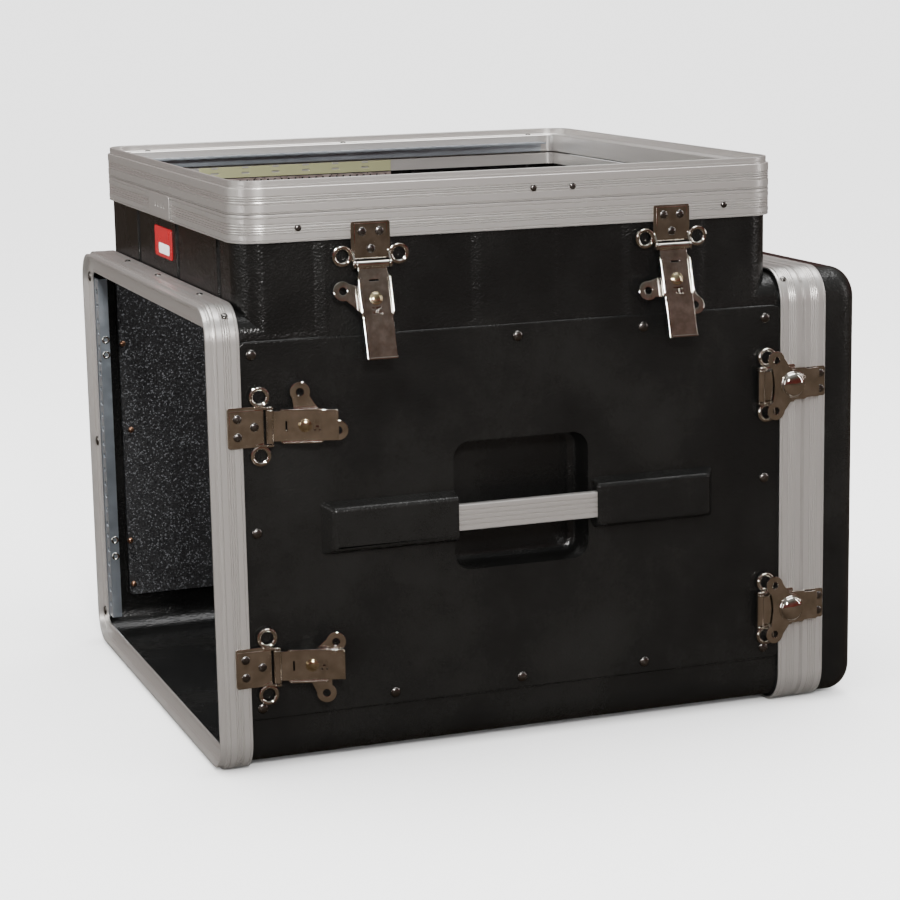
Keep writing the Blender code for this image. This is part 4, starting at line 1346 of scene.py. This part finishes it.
@dataclass
class LatchTools:
    """Masters that every latch is copied from, in the latch's own axes and millimetres.

    x runs towards the lid when the latch is shut, y across it and z away from the wall.
    """

    ear: Point = (8.0, 26.5)
    ear_radius: float = 9.5
    ear_hole: float = 5.8
    pivot: float = 31.0
    hub: float = 14.5
    lobe_reach: float = 30.0
    lobe_angle: float = 126.0
    lobe_radius: float = 9.0
    deck: float = -2.7
    keeper_top: float = -3.7
    pin_end: float = 17.7

    def base(self) -> Piece:
        """Plate with a raised platform, two ring ears and the cheeks that hold the barrel."""
        centre, r = self.ear, self.ear_radius
        outline = [(36.5, -18.5), (38.0, -17.0), (38.0, 17.0), (36.5, 18.5)]
        outline += arc(centre, r, -57.4, 249.0, 22)
        outline += arc((centre[0], -centre[1]), r, -249.0, 57.4, 22)
        ears = [circle((centre[0], s * centre[1]), self.ear_hole, 20) for s in (-1, 1)]
        plate = Bench.prism("latch_base_master", scaled(outline), -5.2 * MM, -3.4 * MM,
                            [scaled(hole) for hole in ears], 0.5 * MM)
        top = self.deck * MM
        platform = Bench.block("platform", (5.2 * MM, -15.5 * MM, -4.2 * MM), (36.6 * MM, 15.5 * MM, top))
        Bench.rounded(platform, 0.9 * MM, 2, on_plane(2, top))
        Bench.combine(plate, platform, "UNION")
        bead = [(6.0, -4.4), (8.9, -4.4), (8.9, -3.1), (8.5, -2.6), (7.9, -2.4), (7.2, -2.5), (6.3, -3.1),
                (6.0, -3.6), (6.0, -4.4)]
        for s in (-1, 1):
            rim = Bench.turned("ear_rim", scaled(bead),
                               Matrix.Translation((centre[0] * MM, s * centre[1] * MM, 0)), 26)
            Bench.combine(plate, rim, "UNION")
            slope = [(-3.6, -5.2), (12.5, -5.2), (12.5, -3.0), (9.0, -2.2), (5.4, 0.6)]
            slope += arc((0.0, 0.0), 3.7, 20.0, 180.0, 8) + [(-3.6, -3.0)]
            cheek = Bench.prism("cheek", scaled(slope), -0.9 * MM, 0.9 * MM, (), 0.25 * MM,
                                facing_front(0, s * 16.8 * MM, 0))
            Bench.combine(plate, cheek, "UNION")
        return Bench.finished(plate)

    def arm(self, length: float) -> Piece:
        """Rolled barrel, flanged plate with its slot, and the hook at the tip."""
        outline = [(2.4, -13.6), (9.0, -13.6), (10.5, -15.5), (45.5, -15.5), (47.5, -13.9),
                   (length - 1.0, -13.9), (length, -12.9)]
        outline += [(x, -y) for x, y in outline[::-1]]
        slot = [(38.8, -4.6), (40.4, -4.6), (40.4, -1.1), (43.4, -1.1), (43.4, -4.6), (45.0, -4.6)]
        slot += [(x, -y) for x, y in slot[::-1]]
        holes = [scaled(slot), scaled(rounded_rectangle(1.5, 9.0, 0.7, 3, (14.5, 0.0)))]
        plate = Bench.prism("latch_arm_master", scaled(outline), 0.6 * MM, 2.2 * MM, holes, 0.3 * MM)
        roll = [(0.0, -15.4), (2.2, -15.4), (2.2, -15.2), (3.3, -15.2), (3.6, -14.9)]
        roll += [(x, -y) for x, y in roll[::-1]]
        barrel = Bench.turned("barrel", scaled(roll), Matrix.Rotation(math.radians(90), 4, "X"), 24)
        Bench.combine(plate, barrel, "UNION")
        edge = [(10.2, 1.9), (10.2, -0.2), (12.4, -2.2), (43.8, -2.2), (45.8, -0.2), (45.8, 1.9)]
        for s in (-1, 1):
            lip = Bench.prism("lip", scaled(edge), -0.75 * MM, 0.75 * MM, (), 0.45 * MM,
                              facing_front(0, s * 14.75 * MM, 0))
            Bench.combine(plate, lip, "UNION")
        hook = Bench.block("hook", ((length - 1.8) * MM, -13.2 * MM, -3.1 * MM),
                           ((length - 0.1) * MM, 13.2 * MM, 2.0 * MM))
        Bench.combine(plate, Bench.rounded(hook, 0.5 * MM, 2), "UNION")
        return Bench.finished(plate)

    def boss(self) -> Piece:
        """Domed end of the pivot, seen from the arm's underside."""
        profile = [(0.0, -0.95), (1.6, -0.9), (3.1, -0.7), (4.3, -0.25), (4.7, 0.0), (5.4, 0.0), (5.9, 0.3),
                   (5.9, 0.7), (5.6, 1.0), (0.0, 1.0)]
        return Bench.smooth(Bench.turned("boss_master", scaled(profile),
                                         Matrix.Translation((self.pivot * MM, 0, 0))))

    def wing(self) -> Piece:
        """Butterfly plate with two holed lobes, about its own pivot."""
        angle = math.radians(self.lobe_angle)
        lobe = (self.lobe_reach * math.cos(angle), self.lobe_reach * math.sin(angle))
        upper = arc((0.0, 0.0), self.hub, 0.0, 93.4, 12) + arc(lobe, self.lobe_radius, 6.1, 246.0, 18)
        upper += [(-19.6, 8.0)]
        outline = upper + [(-18.9, 0.0)] + [(x, -y) for x, y in upper[:0:-1]]
        holes = [scaled(circle((lobe[0], s * lobe[1]), 3.5, 18)) for s in (-1, 1)]
        plate = Bench.prism("latch_wing_master", scaled(outline), 4.0 * MM, 5.6 * MM, holes, 0.45 * MM)
        dome = [(0.0, 5.0), (12.5, 5.0), (12.8, 5.3), (12.8, 6.6), (12.5, 7.0), (11.7, 7.05), (11.4, 7.5),
                (11.0, 8.4), (9.9, 9.5), (8.0, 10.5), (5.2, 11.3), (2.2, 11.7), (0.0, 11.8)]
        Bench.combine(plate, Bench.turned("cap", scaled(dome), Matrix.Identity(4), 32), "UNION")
        return Bench.finished(plate)

    def keeper(self) -> Piece:
        """Plate on the lid with the raised lip that the hook pulls on."""
        outline = rounded_rectangle(21.0, 29.0, 2.0, 4, (59.6, 0.0))
        plate = Bench.prism("keeper_master", scaled(outline), -5.2 * MM, self.keeper_top * MM, (), 0.3 * MM)
        lip = Bench.block("lip", (50.4 * MM, -11.5 * MM, -4.4 * MM), (59.6 * MM, 11.5 * MM, -3.3 * MM))
        Bench.combine(plate, Bench.rounded(lip, 0.35 * MM, 2), "UNION")
        return Bench.finished(plate)


SHORT_ARM = 61.0
LONG_ARM = 86.0
OPENED = 163.0


@dataclass
class Latch:
    """One butterfly draw latch, placed by its own two joints."""

    where: Where
    position: str
    side: Side
    opened: float
    turn: float

    @property
    def tag(self) -> str:
        """Name of this latch in its nodes and bodies."""
        return f"{self.where.value}_{self.position}_{self.side.tag}"

    def seat(self) -> Matrix:
        """Place of the latch's axes, with x along its pull and z out of the wall."""
        pulls = {Where.FRONT: (0, -1, 0), Where.REAR: (0, 1, 0), Where.TOP: (0, 0, 1)}
        pull = Vector(pulls[self.where])
        outward = Vector((self.side.value, 0, 0))
        seat = Matrix((pull, outward.cross(pull), outward)).transposed().to_4x4()
        seat.translation = Vector(JOINTS["swing_" + self.tag]["pos_m"])
        return seat

    def fit(self, masters: dict[str, Piece]) -> None:
        """Copies the masters into place and sets the rivets.

        Args:
            masters: base, arm, long arm, boss, wing and keeper.
        """
        seat = self.seat()
        base = Bench.copy("latch_seat_" + self.tag, masters["base"], seat)
        dress(base, NICKEL, CASE_BODY, "latch_base_" + self.tag)
        spots = [seat @ Matrix.Translation((x * MM, y * MM, LatchTools.deck * MM))
                 for x, y in ((29.0, -8.2), (29.0, 8.2), (13.5, 0))]
        pins = [seat @ Matrix.Translation((0, s * LatchTools.pin_end * MM, 0))
                @ Matrix.Rotation(math.radians(-90 * s), 4, "X") for s in (-1, 1)]
        LATCH_RIVET.place("latch_rivets_" + self.tag, spots, DARK_RIVET, CASE_BODY)
        DomeHead(2.6, 0.8, 16).place("hinge_pin_" + self.tag, pins, NICKEL, CASE_BODY)
        swung = seat @ Matrix.Rotation(math.radians(-self.opened), 4, "Y")
        arm_body = "arm_" + self.tag
        reach = "long_arm" if self.where is Where.TOP else "arm"
        arm = Bench.copy("latch_bar_" + self.tag, masters[reach], swung)
        dress(arm, NICKEL, arm_body, "latch_arm_" + self.tag)
        dress(Bench.copy("pivot_boss_" + self.tag, masters["boss"], swung), BRASS, arm_body)
        turned = Matrix.Rotation(math.radians(self.side.value * self.turn), 4, "Z")
        pivot = Matrix.Translation((LatchTools.pivot * MM, 0, 0)) @ turned
        wing = Bench.copy("latch_butterfly_" + self.tag, masters["wing"], swung @ pivot)
        dress(wing, NICKEL, "wing_" + self.tag, "latch_wing_" + self.tag)
        if self.where is Where.REAR:
            node = f"lid_keeper_{self.position}_{self.side.tag}"
            dress(Bench.copy("riveted_" + node, masters["keeper"], seat), NICKEL, LID_BODY, node)
            heads = [seat @ Matrix.Translation((65.5 * MM, y * MM, LatchTools.keeper_top * MM))
                     for y in (-7.5, 7.5)]
            DomeHead(3.8, 1.2).place("keeper_rivets_" + self.tag, heads, DARK_RIVET, LID_BODY)


def build_latches() -> None:
    """Makes the masters once, fits all twelve latches, and takes the masters away."""
    tools = LatchTools()
    masters = {"base": tools.base(), "arm": tools.arm(SHORT_ARM), "long_arm": tools.arm(LONG_ARM),
               "boss": tools.boss(), "wing": tools.wing(), "keeper": tools.keeper()}
    for side in Side:
        for position, turn in (("lower", 191.5), ("upper", 137.0)):
            Latch(Where.FRONT, position, side, OPENED, turn).fit(masters)
            Latch(Where.REAR, position, side, 0.0, 0.0).fit(masters)
        for position, turn in (("front", 233.0), ("rear", 199.0)):
            Latch(Where.TOP, position, side, OPENED, turn).fit(masters)
    for master in masters.values():
        bpy.data.objects.remove(master, do_unlink=True)


# ---------------------------------------------------------------- studio


@dataclass(frozen=True)
class Lamp:
    """Soft rectangular light, placed by azimuth and elevation about the case."""

    name: str
    azimuth: float
    elevation: float
    distance: float
    size: Point
    power: float
    colour: Triple = (1.0, 1.0, 1.0)

    def hang(self, aim: Vector) -> None:
        """Hangs the light, facing the aim."""
        data = bpy.data.lights.new(self.name, "AREA")
        data.shape = "RECTANGLE"
        data.size, data.size_y = self.size
        data.energy = self.power
        data.color = self.colour
        lamp = bpy.data.objects.new(self.name, data)
        bpy.context.scene.collection.objects.link(lamp)
        az, el = math.radians(self.azimuth), math.radians(self.elevation)
        away = Vector((math.sin(az) * math.cos(el), -math.cos(az) * math.cos(el), math.sin(el)))
        turn = away.to_track_quat("Z", "Y").to_matrix().to_4x4()
        lamp.matrix_world = Matrix.Translation(aim + self.distance * away) @ turn


@dataclass
class Studio:
    """Pale floor, soft lights and the camera."""

    spot: Triple = (2.3235, -0.8451, 0.7121)
    azimuth: float = 70.10
    elevation: float = 11.05
    roll: float = -1.078
    lens: float = 97.64
    pale: Triple = (0.90, 0.90, 0.90)
    mirrored: Triple = (0.027, 0.0195, 0.0140)
    daylight: float = 3.0
    walls: Stops = ((0.0, (0.12, 0.024, 0.018)), (0.22, (0.11, 0.026, 0.020)), (0.48, (0.09, 0.085, 0.07)),
                    (0.75, (0.27, 0.27, 0.26)), (1.0, (0.46, 0.46, 0.46)))
    lamps: tuple[Lamp, ...] = (
        Lamp("key", 77.0, 24.0, 2.7, (0.24, 0.24), 56.0, (1.0, 0.99, 0.97)),
        Lamp("front_fill", -8.0, 20.0, 3.0, (1.3, 1.3), 16.0, (0.96, 1.0, 0.95)),
        Lamp("overhead", 200.0, 80.0, 2.4, (1.8, 1.8), 72.0),
        Lamp("front_strip", 22.0, 16.0, 3.0, (0.25, 1.8), 12.0, (1.0, 0.99, 0.98)),
        Lamp("rear_strip", 152.0, 18.0, 3.0, (0.22, 1.8), 12.0, (1.0, 0.97, 0.96)),
    )

    def floor(self) -> None:
        """Lays the floor."""
        bpy.ops.mesh.primitive_plane_add(size=900.0, location=(0, 0, -0.0004))
        floor = bpy.context.object
        floor.name = "studio_floor"
        made = Recipe("pale_floor")
        made.fix(Roughness=0.9, Specular_IOR_Level=0.0)
        path = made.tree.nodes.new("ShaderNodeLightPath")
        stops = ((0.0, self.pale), (1.0, self.mirrored))
        made.feed("Base Color", made.ramp(path.outputs["Is Glossy Ray"], stops))
        floor.data.materials.append(made.material)

    def room(self) -> None:
        """Dim warm room for the metals to mirror, pale where the camera looks straight at it."""
        world = bpy.data.worlds.new("studio_room")
        bpy.context.scene.world = world
        world.use_nodes = True
        tree = world.node_tree
        background = tree.nodes["Background"]
        place = tree.nodes.new("ShaderNodeTexCoord")
        split = tree.nodes.new("ShaderNodeSeparateXYZ")
        ramp = tree.nodes.new("ShaderNodeValToRGB")
        tree.links.new(place.outputs["Generated"], split.inputs["Vector"])
        tree.links.new(split.outputs["Z"], ramp.inputs["Fac"])
        set_stops(ramp.color_ramp, self.walls)
        path = tree.nodes.new("ShaderNodeLightPath")
        choose = tree.nodes.new("ShaderNodeMix")
        choose.data_type = "RGBA"
        tree.links.new(path.outputs["Is Glossy Ray"], choose.inputs["Factor"])
        choose.inputs["A"].default_value = (self.daylight, self.daylight, self.daylight, 1.0)
        tree.links.new(ramp.outputs["Color"], choose.inputs["B"])
        tree.links.new(choose.outputs["Result"], background.inputs["Color"])
        background.inputs["Strength"].default_value = 1.0

    def camera(self) -> None:
        """Places the camera."""
        data = bpy.data.cameras.new("camera")
        data.lens, data.sensor_width = self.lens, 36.0
        data.clip_end = 200.0
        camera = bpy.data.objects.new("camera", data)
        bpy.context.scene.collection.objects.link(camera)
        az, el, roll = (math.radians(v) for v in (self.azimuth, self.elevation, self.roll))
        away = Vector((math.sin(az) * math.cos(el), -math.cos(az) * math.cos(el), math.sin(el)))
        level = (-away).cross(Vector((0, 0, 1))).normalized()
        above = level.cross(-away)
        right = math.cos(roll) * level + math.sin(roll) * above
        up = math.cos(roll) * above - math.sin(roll) * level
        pose = Matrix((right, up, away)).transposed().to_4x4()
        pose.translation = Vector(self.spot)
        camera.matrix_world = pose
        bpy.context.scene.camera = camera

    def build(self) -> None:
        """Sets up the studio."""
        self.floor()
        self.room()
        for lamp in self.lamps:
            lamp.hang(Vector((0.0, -0.05, 0.25)))
        self.camera()


def main() -> None:
    """Builds the whole case and its studio, in the order that it would be put together."""
    logging.basicConfig(level=logging.INFO, format="%(message)s")
    MouldedBody().build()
    Frames().build()
    for side in Side:
        HandleBar().build(side)
    RearLid().build()
    Fittings().build()
    build_latches()
    Studio().build()


if __name__ == "__main__":
    main()
